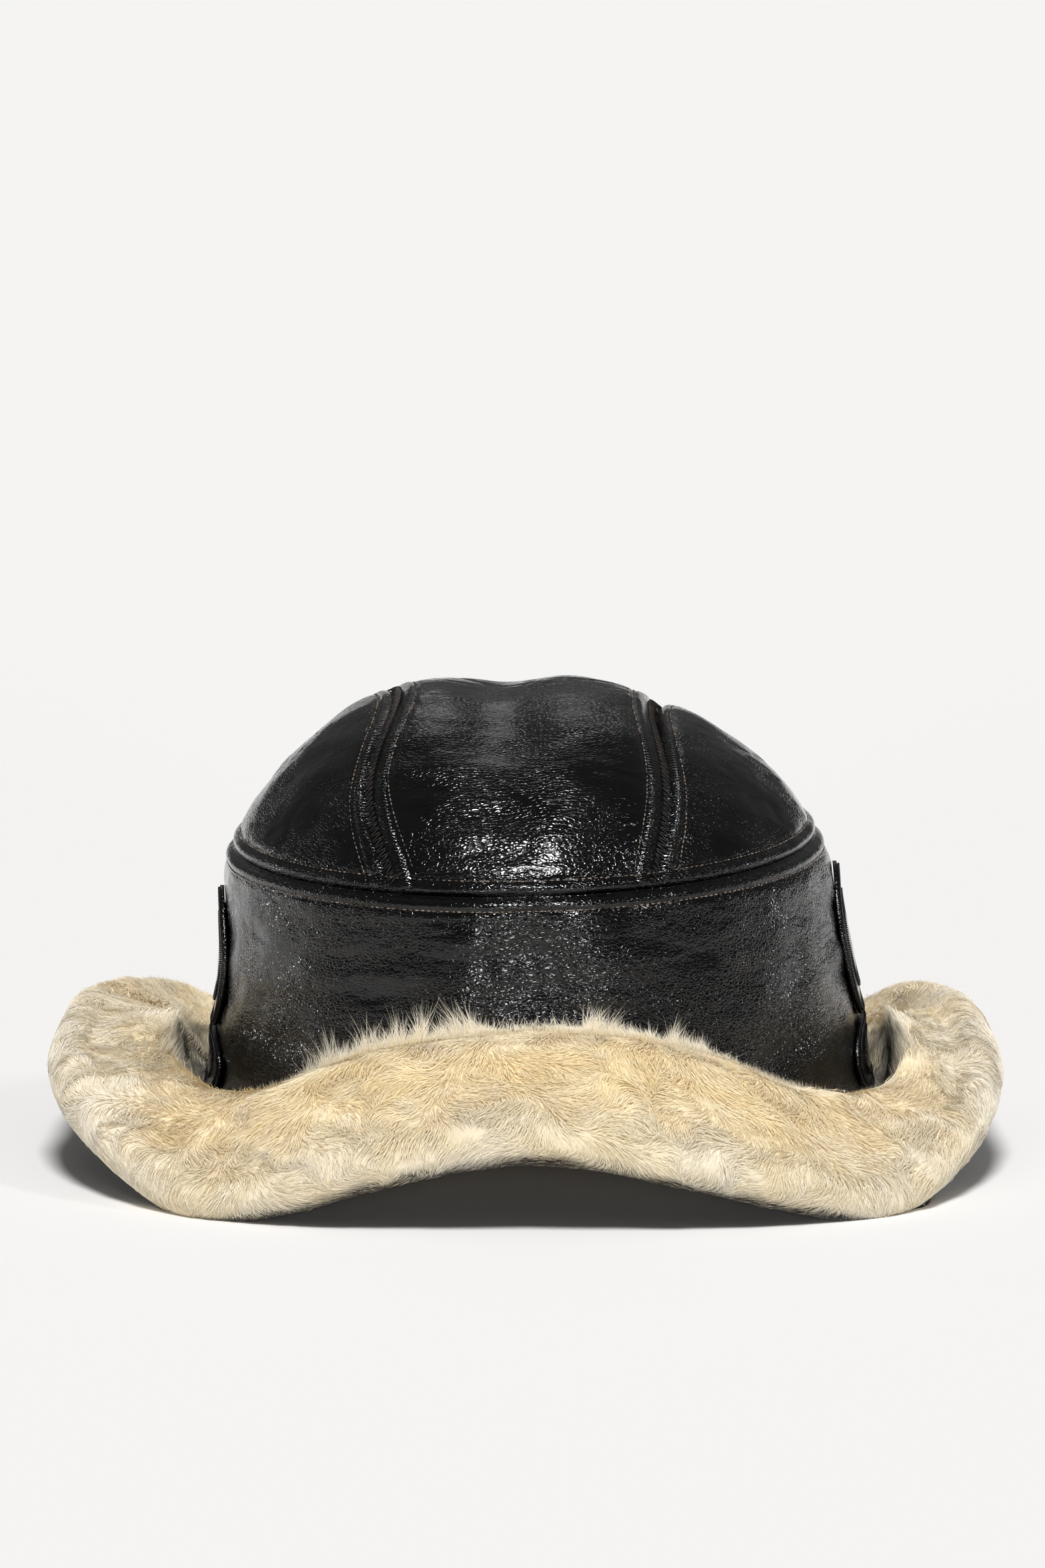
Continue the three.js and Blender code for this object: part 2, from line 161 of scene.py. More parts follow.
def blend_by(share, start, end):
    return start + (end - start) * share


def column(table, key, at):
    """Smooth value of a table's column between its rows, level at its two ends"""
    places = np.array(table["at"], float)
    values = np.array(table[key], float)
    slopes = np.zeros_like(values)
    slopes[1:-1] = (values[2:] - values[:-2]) / (places[2:] - places[:-2])
    at = np.clip(at, places[0], places[-1])
    row = np.clip(np.searchsorted(places, at, side="right") - 1, 0, len(places) - 2)
    step = places[row + 1] - places[row]
    t = (at - places[row]) / step
    rise = slopes[row] * step
    fall = slopes[row + 1] * step
    start = values[row]
    end = values[row + 1]
    bend = 2 * (start - end) + rise + fall
    return start + t * (rise + t * (3 * (end - start) - 2 * rise - fall + t * bend))


def drift(points, size, seed, waves=24):
    """Smooth random field with a spread of 1 and soft patches of the given size"""
    draw = np.random.default_rng(seed)
    directions = draw.normal(size=(waves, 3))
    directions /= np.linalg.norm(directions, axis=1)[:, None]
    directions *= draw.uniform(0.6, 1.5, (waves, 1)) * math.pi
    phases = draw.uniform(0, 2 * math.pi, waves)
    field = np.cos((points / np.array(size)) @ directions.T + phases).sum(axis=1)
    return field / math.sqrt(waves / 2)


def unit(vectors):
    lengths = np.linalg.norm(vectors, axis=1)[:, None]
    return vectors / np.maximum(lengths, 1e-9)


def stack(*columns):
    return np.stack(np.broadcast_arrays(*columns), axis=-1)


# Surfaces of the hat, each worked out for whole arrays of places


def tip_seam_height(angle):
    turn = np.radians(angle)
    return TIP_SEAM_HEIGHT + TIP_SEAM_TILT * np.sin(turn) - TIP_SEAM_NOD * np.cos(turn)


def band_square(angle, height):
    """Direction square to the band, level with the floor"""
    turn = np.radians(angle)
    half_width = column(BAND_SECTIONS, "half_width", height)
    half_depth = column(BAND_SECTIONS, "half_depth", height)
    return unit(stack(np.sin(turn) / half_width, -np.cos(turn) / half_depth, 0 * turn))


def band_point(angle, height, out):
    turn = np.radians(angle)
    half_width = column(BAND_SECTIONS, "half_width", height)
    half_depth = column(BAND_SECTIONS, "half_depth", height)
    reach = out
    for dent in BAND_DENTS:
        off = np.mod(angle - dent["angle"] + 180, 360) - 180
        near = bell(off, dent["angle_reach"]) * bell(height - dent["height"], dent["height_reach"])
        reach = reach + dent["out"] * near
    lean = column(BAND_SECTIONS, "lean", height)
    middle = stack(lean + half_width * np.sin(turn), -half_depth * np.cos(turn), height)
    return middle + reach[:, None] * band_square(angle, height)


def brim_point(angle, share, above, past=0):
    """Point of the brim's section: share of the way from seam to edge, and how far above the hide"""
    start = stack(SEAM_GAP + BRIM_HIDE / 2, column(BRIM_SECTIONS, "seam", angle))
    middle = stack(column(BRIM_SECTIONS, "middle_out", angle), column(BRIM_SECTIONS, "middle_height", angle))
    edge_height = column(BRIM_SECTIONS, "edge_height", angle) + BRIM_HIDE / 2
    end = stack(column(BRIM_SECTIONS, "edge_out", angle), edge_height)
    pull = 2 * middle - (start + end) / 2
    t = share[:, None]
    place = (1 - t) ** 2 * start + 2 * t * (1 - t) * pull + t**2 * end
    along = unit((1 - t) * (pull - start) + t * (end - pull))
    out = place[:, 0] - along[:, 1] * above + along[:, 0] * past
    height = place[:, 1] + along[:, 0] * above + along[:, 1] * past
    return band_point(angle, np.maximum(height, 0), np.maximum(out, SEAM_GAP))


def panel_seam(side, along):
    bow = PANEL_SEAM_BOW[side] * np.sin(math.pi * along**2)
    return (-1 if side == "left" else 1) * (PANEL_SEAM_OFFSET + bow)


def seam_plan(x, along):
    return stack(x, along * TIP_HALF_DEPTH * np.sqrt(1 - (x / TIP_HALF_WIDTH) ** 2))


def tip_share(plan):
    return np.hypot(plan[:, 0] / TIP_HALF_WIDTH, plan[:, 1] / TIP_HALF_DEPTH)


def tip_point(plan, sink=0):
    share = np.minimum(tip_share(plan), 1)
    seam = tip_seam_height(np.degrees(np.arctan2(plan[:, 0], -plan[:, 1]))) + HIDE_GAP / 2
    base = blend_by(share, TIP_SEAM_HEIGHT, seam)
    swell = (1 - share**TIP_ROUNDNESS) ** TIP_SHOULDER
    across = bell(plan[:, 0] - VALLEY["x"], VALLEY["half_width"])
    along = bell(plan[:, 1] - VALLEY["y"], VALLEY["half_length"])
    dip = VALLEY["depth"] * across * along
    crest = column(TIP_RISES, "rise", plan[:, 0])
    return stack(plan[:, 0], plan[:, 1], base + crest * swell - (dip + sink) * np.minimum(swell * 2, 1))


def tip_square(plan):
    """Direction square to the tip's dome"""
    inside = plan * np.minimum(1, 0.985 / np.maximum(tip_share(plan), 1e-6))[:, None]
    step = 0.8
    across = tip_point(inside + [step, 0]) - tip_point(inside - [step, 0])
    along = tip_point(inside + [0, step]) - tip_point(inside - [0, step])
    return unit(np.cross(across, along))


def rim_distance(plan):
    """Distance of a point of the tip from the seam round it"""
    plan = plan + [0.01, 0]
    share = tip_share(plan)[:, None]
    return np.linalg.norm(tip_point(plan) - tip_point(plan / share), axis=1)


def spread(share):
    """Rows closer together at the front and the back"""
    return np.sin((share - 0.5) * math.pi)


def seam_relief(distance):
    """Sewn seam: a strip sunk between two padded ridges, each held down by a row of stitches"""
    strip = -0.5 * bell(distance, LADDER_HALF_WIDTH)
    ridge = 0.5 * bell(distance - RIDGE_OFFSET, 1.7)
    row = -0.4 * bell(distance - TOPSTITCH_OFFSET, 0.8)
    return strip + ridge + row


def rim_relief(distance, row):
    """Seam between the tip and the band: a deep crease, and a roll with a row of stitches"""
    return -1.5 * bell(distance, 0.9) + 0.6 * bell(distance - row / 2, 1.6) - 0.5 * bell(distance - row, 0.8)


def coarseness(points):
    """How coarse the hide's grain is: more where it was stretched or flexed"""
    coarse = 1 + 0 * points[:, 0]
    for place in COARSE_PLACES:
        distance = np.linalg.norm(points - place["middle"], axis=1)
        coarse = coarse + place["more"] * bell(distance, place["reach"])
    return coarse


def hide_ripples(points):
    """Soft folds and creases of worn hide, longer level than upright"""
    soft = 0.22 * drift(points, (16, 12, 7), 3)
    crease = -0.34 * bell(drift(points, (11, 6, 3.4), 4), 0.34)
    patchy = 0.5 + 0.5 * np.tanh(drift(points, (26, 26, 18), 5))
    return soft + crease * patchy


def calmed(from_seam):
    """How much of the folds is left near a seam, which holds the hide down"""
    return np.clip(from_seam / CALM_REACH, 0.25, 1)


# Meshes


def make_piece(name, mesh, materials):
    """Puts a mesh into the scene with its materials"""
    for material in materials:
        mesh.materials.append(material)
    mesh.shade_smooth()
    piece = bpy.data.objects.new(name, mesh)
    bpy.context.scene.collection.objects.link(piece)
    return piece


def finish_mesh(bm, name, materials):
    """Turns a bmesh into a piece"""
    mesh = bpy.data.meshes.new(name)
    bm.to_mesh(mesh)
    bm.free()
    return make_piece(name, mesh, materials)


def grid_mesh(columns, rows, place):
    """Sheet of cells whose corners are put where place(across, along) says, both from 0 to 1"""
    bm = bmesh.new()
    bmesh.ops.create_grid(bm, x_segments=columns, y_segments=rows, size=0.5)
    flat = np.array([corner.co[:2] for corner in bm.verts])
    flat -= flat.min(axis=0)
    flat /= flat.max(axis=0)
    across_layer = bm.verts.layers.float.new("across")
    along_layer = bm.verts.layers.float.new("along")
    for corner, point, (across, along) in zip(bm.verts, place(flat[:, 0], flat[:, 1]) * MM, flat):
        corner.co = point
        corner[across_layer] = across
        corner[along_layer] = along
    return bm


def weld(bm):
    """Joins the edges of a sheet that was bent shut, and turns its faces outwards"""
    bmesh.ops.remove_doubles(bm, verts=bm.verts, dist=1e-6)
    bmesh.ops.dissolve_degenerate(bm, edges=bm.edges, dist=1e-7)
    bmesh.ops.recalc_face_normals(bm, faces=bm.faces)


def face_up(bm):
    """Turns an open sheet's faces away from the floor"""
    bmesh.ops.recalc_face_normals(bm, faces=bm.faces)
    bm.normal_update()
    if sum(face.normal.z * face.calc_area() for face in bm.faces) < 0:
        bmesh.ops.reverse_faces(bm, faces=bm.faces)


def thicken(piece, wall):
    """Gives a sheet its wall, on the side away from its face"""
    modifier = piece.modifiers.new("wall", "SOLIDIFY")
    modifier.thickness = wall * MM
    modifier.offset = -1
    modifier.use_even_offset = False
    return piece


def set_point_values(piece, name, values):
    """Keeps three numbers at each corner of a mesh, for its material to read"""
    attribute = piece.data.attributes.new(name, "FLOAT_VECTOR", "POINT")
    attribute.data.foreach_set("vector", values.astype(np.float32).ravel())


def grid_places(piece):
    """Where each corner lay on its sheet before it was bent"""
    places = []
    for name in ("across", "along"):
        values = np.zeros(len(piece.data.vertices), np.float32)
        piece.data.attributes[name].data.foreach_get("value", values)
        places.append(values.astype(float))
    return places


def mesh_points(piece):
    points = np.zeros(len(piece.data.vertices) * 3)
    piece.data.vertices.foreach_get("co", points)
    return points.reshape(-1, 3) / MM


def mark_far_from_seams(piece):
    """Tells the hide's material that no long seam is near, and how coarse its grain is"""
    points = mesh_points(piece)
    set_point_values(piece, "seam_place", stack(FAR_FROM_SEAMS, points[:, 0], coarseness(points)))


def declare(piece, slot, *nodes):
    """Says what a piece rides on and the solids that it stands for; slot, its finish, is not used"""
    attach(piece, BODY)
    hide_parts(*nodes)
    return piece


# Materials


def linear(code):
    """Linear colour of an sRGB hex value"""
    parts = [int(code[i : i + 2], 16) / 255 for i in (1, 3, 5)]
    return [c / 12.92 if c <= 0.04045 else ((c + 0.055) / 1.055) ** 2.4 for c in parts] + [1]


def add(tree, kind, settings=None, **inputs):
    """Adds a node; an input is a value, or a node and its output, and _0 is the first of its inputs"""
    node = tree.nodes.new(kind)
    for name, value in (settings or {}).items():
        setattr(node, name, value)
    for name, value in inputs.items():
        key = int(name[1:]) if name[0] == "_" else name.replace("_", " ")
        if isinstance(value, tuple) and isinstance(value[0], bpy.types.Node):
            tree.links.new(value[0].outputs[value[1]], node.inputs[key])
        else:
            node.inputs[key].default_value = value
    return node


def new_material(name):
    material = bpy.data.materials.new(name)
    material.use_nodes = True
    tree = material.node_tree
    tree.nodes.clear()
    return material, tree


def sized(tree, size):
    """Object coordinates counted in cells of the given size in millimetres"""
    place = add(tree, "ShaderNodeTexCoord")
    scale = tuple(1 / (side * MM) for side in size)
    return add(tree, "ShaderNodeMapping", Vector=(place, "Object"), Scale=scale)


def soft_pattern(tree, size, detail=2, roughness=0.5):
    """Soft random pattern with patches of the given size in millimetres"""
    spot = sized(tree, size)
    inputs = {"Scale": 1, "Detail": detail, "Roughness": roughness}
    return add(tree, "ShaderNodeTexNoise", Vector=(spot, "Vector"), **inputs)


# Settings of nodes

SMOOTH = {"interpolation_type": "SMOOTHSTEP"}
COLOURS = {"data_type": "RGBA"}
TIMES = {"operation": "MULTIPLY"}
TIMES_PLUS = {"operation": "MULTIPLY_ADD"}

# Heights of the hide's relief, in millimetres
GRAIN = {"valleys": 0.055, "cells": 0.06, "ripples": 0.12, "folds": 0.35, "pores": 0.006, "puckers": 0.1}
CELL_SIZE = (1.7, 1.3, 0.95)
CELL_WARP = 1.6  # how far the cells are shifted about, in cells
VALLEY_EDGE = 0.14  # half the width of the valley between two cells, in cells


def nappa_relief(tree):
    """Height of the hide: plump grain cells with valleys between them and ripples over them, all higher
    where the hide is coarse; soft folds, pores, and puckers where the stitches gather a seam's ridge"""
    warp = soft_pattern(tree, (4, 4, 3))
    spot = sized(tree, CELL_SIZE)
    shift = {"_0": (warp, "Color"), "_1": (CELL_WARP,) * 3, "_2": (spot, "Vector")}
    shifted = add(tree, "ShaderNodeVectorMath", TIMES_PLUS, **shift)
    to_edge = {"feature": "DISTANCE_TO_EDGE"}
    cells = add(tree, "ShaderNodeTexVoronoi", to_edge, Vector=(shifted, "Vector"), Scale=1)
    distance = (cells, "Distance")
    valleys = add(tree, "ShaderNodeMapRange", SMOOTH, Value=distance, From_Min=0, From_Max=VALLEY_EDGE)
    plump = add(tree, "ShaderNodeMapRange", SMOOTH, Value=distance, From_Min=0, From_Max=0.5)
    ripples = soft_pattern(tree, (3.3, 2.6, 1.1), 2, 0.45)
    folds = soft_pattern(tree, (8, 6, 2.8))
    pores = soft_pattern(tree, (0.4, 0.4, 0.4), 1)
    patches = soft_pattern(tree, (24, 24, 17), 1)
    limits = {"From_Min": 0.36, "From_Max": 0.62, "To_Min": 0.35, "To_Max": 1}
    patchy = add(tree, "ShaderNodeMapRange", SMOOTH, Value=(patches, "Fac"), **limits)
    seam = add(tree, "ShaderNodeAttribute", {"attribute_name": "seam_place"})
    parts = add(tree, "ShaderNodeSeparateXYZ", Vector=(seam, "Vector"))
    off_ridge = add(tree, "ShaderNodeMath", {"operation": "SUBTRACT"}, _0=(parts, "X"), _1=RIDGE_OFFSET)
    aside = add(tree, "ShaderNodeMath", {"operation": "ABSOLUTE"}, _0=(off_ridge, 0))
    on_ridge = add(tree, "ShaderNodeMapRange", SMOOTH, Value=(aside, 0), From_Min=2.4, From_Max=0.4)
    turn = add(tree, "ShaderNodeMath", TIMES, _0=(parts, "Y"), _1=2 * math.pi / PUCKER_PITCH)
    beat = add(tree, "ShaderNodeMath", {"operation": "SINE"}, _0=(turn, 0))
    pucker = add(tree, "ShaderNodeMath", TIMES, _0=(beat, 0), _1=(on_ridge, "Result"))
    height = add(tree, "ShaderNodeMath", TIMES, _0=(plump, "Result"), _1=GRAIN["cells"])
    for name, layer in (("valleys", (valleys, "Result")), ("ripples", (ripples, "Fac"))):
        height = add(tree, "ShaderNodeMath", TIMES_PLUS, _0=layer, _1=GRAIN[name], _2=(height, 0))
    for factor in ((parts, "Z"), (patchy, "Result")):
        height = add(tree, "ShaderNodeMath", TIMES, _0=(height, 0), _1=factor)
    for name, layer in (("folds", (folds, "Fac")), ("pores", (pores, "Fac")), ("puckers", (pucker, 0))):
        height = add(tree, "ShaderNodeMath", TIMES_PLUS, _0=layer, _1=GRAIN[name], _2=(height, 0))
    return height


def nappa(name, dark, light, rough):
    """Black nappa: sheepskin drum-dyed and finished with a thin glossy resin on its grain side. The
    finish gives a sharp clear-coat shine, broken by the grain's plump cells and by creases."""
    material, tree = new_material(name)
    bump = add(tree, "ShaderNodeBump", Strength=1, Distance=MM, Height=(nappa_relief(tree), 0))
    wear = soft_pattern(tree, (14, 14, 10), 4, 0.6)
    worn = add(tree, "ShaderNodeMapRange", SMOOTH, Value=(wear, "Fac"), From_Min=0.35, From_Max=0.7)
    colour = add(tree, "ShaderNodeMix", COLOURS, _0=(worn, "Result"), _6=linear(dark), _7=linear(light))
    haze = soft_pattern(tree, (30, 30, 22), 3, 0.6)
    limits = {"From_Min": 0.3, "From_Max": 0.7, "To_Min": rough - 0.05, "To_Max": rough + 0.07}
    dull = add(tree, "ShaderNodeMapRange", SMOOTH, Value=(haze, "Fac"), **limits)
    shader = add(
        tree,
        "ShaderNodeBsdfPrincipled",
        Base_Color=(colour, 2),
        Roughness=(dull, "Result"),
        Normal=(bump, "Normal"),
        Coat_Normal=(bump, "Normal"),
        IOR=1.5,
        Specular_IOR_Level=0.05,
        Coat_Weight=0.85,
        Coat_Roughness=0.07,
    )
    add(tree, "ShaderNodeOutputMaterial", Surface=(shader, "BSDF"))
    return material


def wool(name, white, yellow, root, stain_and_shade):
    """Sheepskin wool, tanned and sheared. Fine keratin fibres scatter light softly; they are whiter at
    their tips and yellower below, where a mix towards the roots' colour also paints the shade of the deeper
    pile.
    The darkest colour is black dyestuff that crept up the fibres along the lower front edge, and painted
    shade in the troughs beside the band and over the lower front."""
    material, tree = new_material(name)
    marks = add(tree, "ShaderNodeAttribute", {"attribute_name": "wool_marks"})
    parts = add(tree, "ShaderNodeSeparateXYZ", Vector=(marks, "Vector"))
    tone = add(tree, "ShaderNodeMix", COLOURS, _0=(parts, "X"), _6=linear(white), _7=linear(yellow))
    # Painted shade: the wool is mixed towards its yellower, darker root colour where it lies deeper in the
    # pile
    depth_shaded = add(tree, "ShaderNodeMix", COLOURS, _0=(parts, "Y"), _6=linear(root), _7=(tone, 2))
    # The darkest colour is black dyestuff along the lower front edge, and painted shade beside the band and
    # over the lower front
    dyed_and_shaded = add(tree, "ShaderNodeMix", COLOURS, _0=(parts, "Z"), _6=(depth_shaded, 2), _7=linear(stain_and_shade))
    fluff = soft_pattern(tree, (1.1, 1.1, 1.1), 3, 0.6)
    bump = add(tree, "ShaderNodeBump", Strength=0.4, Distance=0.5 * MM, Height=(fluff, "Fac"))
    shader = add(
        tree,
        "ShaderNodeBsdfPrincipled",
        Base_Color=(dyed_and_shaded, 2),
        Roughness=0.85,
        Normal=(bump, "Normal"),
        Specular_IOR_Level=0.15,
        Sheen_Weight=0.25,
        Sheen_Roughness=0.5,
    )
    add(tree, "ShaderNodeOutputMaterial", Surface=(shader, "BSDF"))
    return material


def two_shades(tree, size, detail, roughness, limits, dark, light):
    """Colour that drifts between two shades, with the pattern that it follows"""
    pattern = soft_pattern(tree, size, detail, roughness)
    low, high = limits
    share = add(tree, "ShaderNodeMapRange", SMOOTH, Value=(pattern, "Fac"), From_Min=low, From_Max=high)
    shades = {"_6": linear(dark), "_7": linear(light)}
    return add(tree, "ShaderNodeMix", COLOURS, _0=(share, "Result"), **shades), pattern


def thread(name, dark, light, rough):
    """Spun polyester sewing thread: a soft satin shine on fine twisted yarn"""
    material, tree = new_material(name)
    colour, shade = two_shades(tree, (2.2, 2.2, 2.2), 2, 0.5, (0.35, 0.65), dark, light)
    twist = soft_pattern(tree, (0.3, 0.3, 0.3), 1)
    bump = add(tree, "ShaderNodeBump", Strength=0.5, Distance=0.08 * MM, Height=(twist, "Fac"))
    look = {"Base_Color": (colour, 2), "Roughness": rough, "Normal": (bump, "Normal")}
    shader = add(tree, "ShaderNodeBsdfPrincipled", **look)
    add(tree, "ShaderNodeOutputMaterial", Surface=(shader, "BSDF"))
    return material


def raw_edge(name, dark, light):
    """Cut edge of the tanned skin: undyed and fibrous, matt and tan"""
    material, tree = new_material(name)
    colour, fibres = two_shades(tree, (1.4, 1.4, 0.35), 3, 0.6, (0.3, 0.7), dark, light)
    bump = add(tree, "ShaderNodeBump", Strength=0.6, Distance=0.15 * MM, Height=(fibres, "Fac"))
    look = {"Base_Color": (colour, 2), "Roughness": 0.8, "Normal": (bump, "Normal")}
    shader = add(tree, "ShaderNodeBsdfPrincipled", **look)
    add(tree, "ShaderNodeOutputMaterial", Surface=(shader, "BSDF"))
    return material


NAPPA = nappa("Black glossy nappa", "#030303", "#080708", 0.2)
PATCH_NAPPA = nappa("Black patch nappa", "#030304", "#09090b", 0.18)
# The root colours are the wool's yellower roots with painted shade of the deeper pile; the darkest colours
# are black dyestuff and painted shade.
WOOL = wool("Cream sheared wool", "#fbf4e4", "#f4dea9", "#efd6a0", "#1d1713")
LINING_WOOL = wool("Cream lining wool", "#f3e9d4", "#ead3a2", "#cfa96c", "#2b2119")
# The lighter shades of the seam thread and of the cross-stitch thread are painted glints on dark brown
# thread.
SEAM_THREAD = thread("Brown seam thread", "#1a1614", "#8f7f70", 0.45)
BLACK_THREAD = thread("Black satin thread", "#08080a", "#1d1d20", 0.3)
CROSS_THREAD = thread("Dark brown cross stitch thread", "#0b0a09", "#332b26", 0.3)
RAW_EDGE = raw_edge("Tan cut skin edge", "#594434", "#957557")


# Crown


def centre_plan(across, along):
    place = spread(along)
    left = panel_seam("left", place) + HIDE_GAP / 2
    right = panel_seam("right", place) - HIDE_GAP / 2
    x = blend_by(across, left, right)
    return seam_plan(x, place), np.minimum(x - left, right - x)


def side_plan(name):
    sign = -1 if name == "left" else 1
    corner = math.asin(PANEL_SEAM_OFFSET / TIP_HALF_WIDTH)

    def plan_at(across, along):
        place = spread(along)
        inner = seam_plan(panel_seam(name, place) + sign * HIDE_GAP / 2, place)
        turn = math.pi / 2 + place * (math.pi / 2 - corner)
        rim = stack(sign * TIP_HALF_WIDTH * np.sin(turn), -TIP_HALF_DEPTH * np.cos(turn))
        plan = inner + across[:, None] * (rim - inner)
        return plan, np.linalg.norm(plan - inner, axis=1)

    return plan_at


def crowded(share):
    """Rows closer together at both ends"""
    return share - 0.75 * np.sin(2 * math.pi * share) / (2 * math.pi)


def panel_sink(name, plan):
    """How far a panel dips into its seam, which is deepest where the right one crosses the crest"""
    step = RIGHT_STEP["sink"] * bell(plan[:, 1], RIGHT_STEP["reach"]) if name == "right" else 0
    return PANEL_EDGE_SINK[name] + step


def panel_surface(plan, seam_distance, sink, lift=0.0, ripples=True):
    """Skin of a tip panel with its seams' relief, or a place that lies lift above it"""
    square = tip_square(plan)
    points = tip_point(plan, sink * bell(seam_distance, PANEL_EDGE_REACH))
    from_rim = rim_distance(plan)
    relief = seam_relief(seam_distance) * np.clip(from_rim / 4, 0.3, 1)
    relief = relief + rim_relief(from_rim, RIM_TOPSTITCH["tip"])
    if ripples:
        relief = relief + hide_ripples(points) * calmed(np.minimum(seam_distance, from_rim))
    return points + (relief + lift)[:, None] * square


def centre_hide():
    def place(across, along):
        plan, seam_distance = centre_plan(crowded(across), along)
        return panel_surface(plan, seam_distance, panel_sink("centre", plan))

    bm = grid_mesh(*CELLS["centre"], place)
    face_up(bm)
    piece = finish_mesh(bm, "centre_panel_hide", [NAPPA])
    set_seam_places(piece)
    return declare(thicken(piece, HIDE_WALL), "black_leather", "centre_panel")


def side_hide(name):
    plan_at = side_plan(name)

    def place(across, along):
        plan, seam_distance = plan_at(crowded(across), along)
        return panel_surface(plan, seam_distance, panel_sink(name, plan))

    bm = grid_mesh(*CELLS["side"], place)
    bmesh.ops.remove_doubles(bm, verts=bm.verts, dist=1e-6)
    face_up(bm)
    piece = finish_mesh(bm, f"{name}_panel_hide", [NAPPA])
    set_seam_places(piece)
    return declare(thicken(piece, HIDE_WALL), "black_leather", f"{name}_panel")


def set_seam_places(piece):
    """Works out how far each corner of a tip panel is from the long seams, and its place along them"""
    points = mesh_points(piece)
    x, y, z = points.T
    place = np.clip(y / TIP_HALF_DEPTH, -1, 1)
    share_along = np.clip(place / np.sqrt(np.maximum(1 - (x / TIP_HALF_WIDTH) ** 2, 0.05)), -1, 1)
    to_left = np.abs(x - panel_seam("left", share_along))
    to_right = np.abs(x - panel_seam("right", share_along))
    along = y + np.where(y < 0, -1, 1) * (TIP_SEAM_HEIGHT + TIP_CREST - z)
    set_point_values(piece, "seam_place", stack(np.minimum(to_left, to_right), along, coarseness(points)))


def panel_fleece(name):
    """Wool on the inside of a tip panel"""

    def place(across, along):
        if name == "centre":
            plan, seam_distance = centre_plan(across, along)
        else:
            plan, seam_distance = side_plan(name)(across, along)
        inside = plan * (1 - FLEECE_DEPTH / TIP_HALF_WIDTH)
        points = tip_point(plan)
        points[:, :2] = inside
        points[:, 2] -= FLEECE_DEPTH * np.clip((points[:, 2] - TIP_SEAM_HEIGHT) / 20, 0, 1)
        dip = panel_sink(name, plan) * bell(seam_distance, 1.6 * PANEL_EDGE_REACH)
        points[:, 2] -= dip + bell(seam_distance, 4)
        return points + 0.4 * drift(points, LINING_LOCKS, 8)[:, None] * tip_square(plan)

    bm = grid_mesh(*CELLS["lining"], place)
    bmesh.ops.remove_doubles(bm, verts=bm.verts, dist=1e-6)
    face_up(bm)
    piece = finish_mesh(bm, f"{name}_panel_fleece", [LINING_WOOL])
    mark_lining(piece)
    return declare(thicken(piece, FLEECE_WALL), "cream_sheepskin", f"{name}_panel")


def mark_lining(piece):
    """Sets how yellow the wool inside is and how much painted shade of the deeper pile it has, with soft
    patches
    """
    points = mesh_points(piece)
    yellow = np.clip(0.4 + 0.18 * drift(points, (22, 22, 22), 11), 0, 1)
    # Painted shade: mixes the lining towards its darker, yellower root colour
    near = np.clip(0.75 + 0.12 * drift(points, (5, 5, 5), 12), 0, 1)
    set_point_values(piece, "wool_marks", stack(yellow, near, 0 * near))


# Side band

BAND_ROWS = {"outer": 56, "top": 2, "inner": 6, "bottom": 2}
BAND_FLEECE_ROWS = {"outer": 8, "top": 2, "inner": 18, "bottom": 3}


def wall_section(share, rows):
    """Place in a wall's closed section: how high, and how deep, both from 0 to 1"""
    total = sum(rows.values())
    row = share * total
    outer = np.clip(row / rows["outer"], 0, 1)
    top = np.clip((row - rows["outer"]) / rows["top"], 0, 1)
    inner = np.clip((row - rows["outer"] - rows["top"]) / rows["inner"], 0, 1)
    bottom = np.clip((row - total + rows["bottom"]) / rows["bottom"], 0, 1)
    return outer - inner, top - bottom


def band_hide():
    def place(across, along):
        angle = -180 + 360 * across
        high, deep = wall_section(along, BAND_ROWS)
        low = column(BRIM_SECTIONS, "seam", angle) - BAND_LAP
        top = tip_seam_height(angle) - HIDE_GAP / 2
        eased = np.sin(high * math.pi / 2) ** 0.9
        height = blend_by(eased, low, top)
        from_rim = top - height
        points = band_point(angle, height, 0 * angle)
        relief = rim_relief(from_rim, RIM_TOPSTITCH["band"]) + hide_ripples(points) * calmed(from_rim)
        return band_point(angle, height, relief - HIDE_WALL * deep)

    bm = grid_mesh(CELLS_ROUND["band"], sum(BAND_ROWS.values()), place)
    weld(bm)
    piece = finish_mesh(bm, "side_band_hide", [NAPPA])
    mark_far_from_seams(piece)
    return declare(piece, "black_leather", "side_band")


def band_fleece():
    """Wool on the inside of the band"""

    def place(across, along):
        angle = -180 + 360 * across
        high, deep = wall_section(along, BAND_FLEECE_ROWS)
        low = column(BRIM_SECTIONS, "seam", angle) - BAND_LAP + 0.6
        top = tip_seam_height(angle) - 0.8
        height = blend_by(high, low, top)
        out = -FLEECE_DEPTH - (BAND_FLEECE_WALL - 0.4) * deep
        points = band_point(angle, height, out)
        lumps = 0.5 * drift(points, LINING_LOCKS, 9) * deep
        return band_point(angle, height, out + lumps)

    bm = grid_mesh(CELLS_ROUND["band_fleece"], sum(BAND_FLEECE_ROWS.values()), place)
    weld(bm)
    piece = finish_mesh(bm, "side_band_fleece", [LINING_WOOL])
    mark_lining(piece)
    return declare(piece, "cream_sheepskin", "side_band")


# Brim


def lobe_share(angle):
    """How much a place round the brim belongs to one of the two lobes beside the crown"""
    return bell(np.abs(angle) - LOBE_FILL["angle"], LOBE_FILL["reach"])


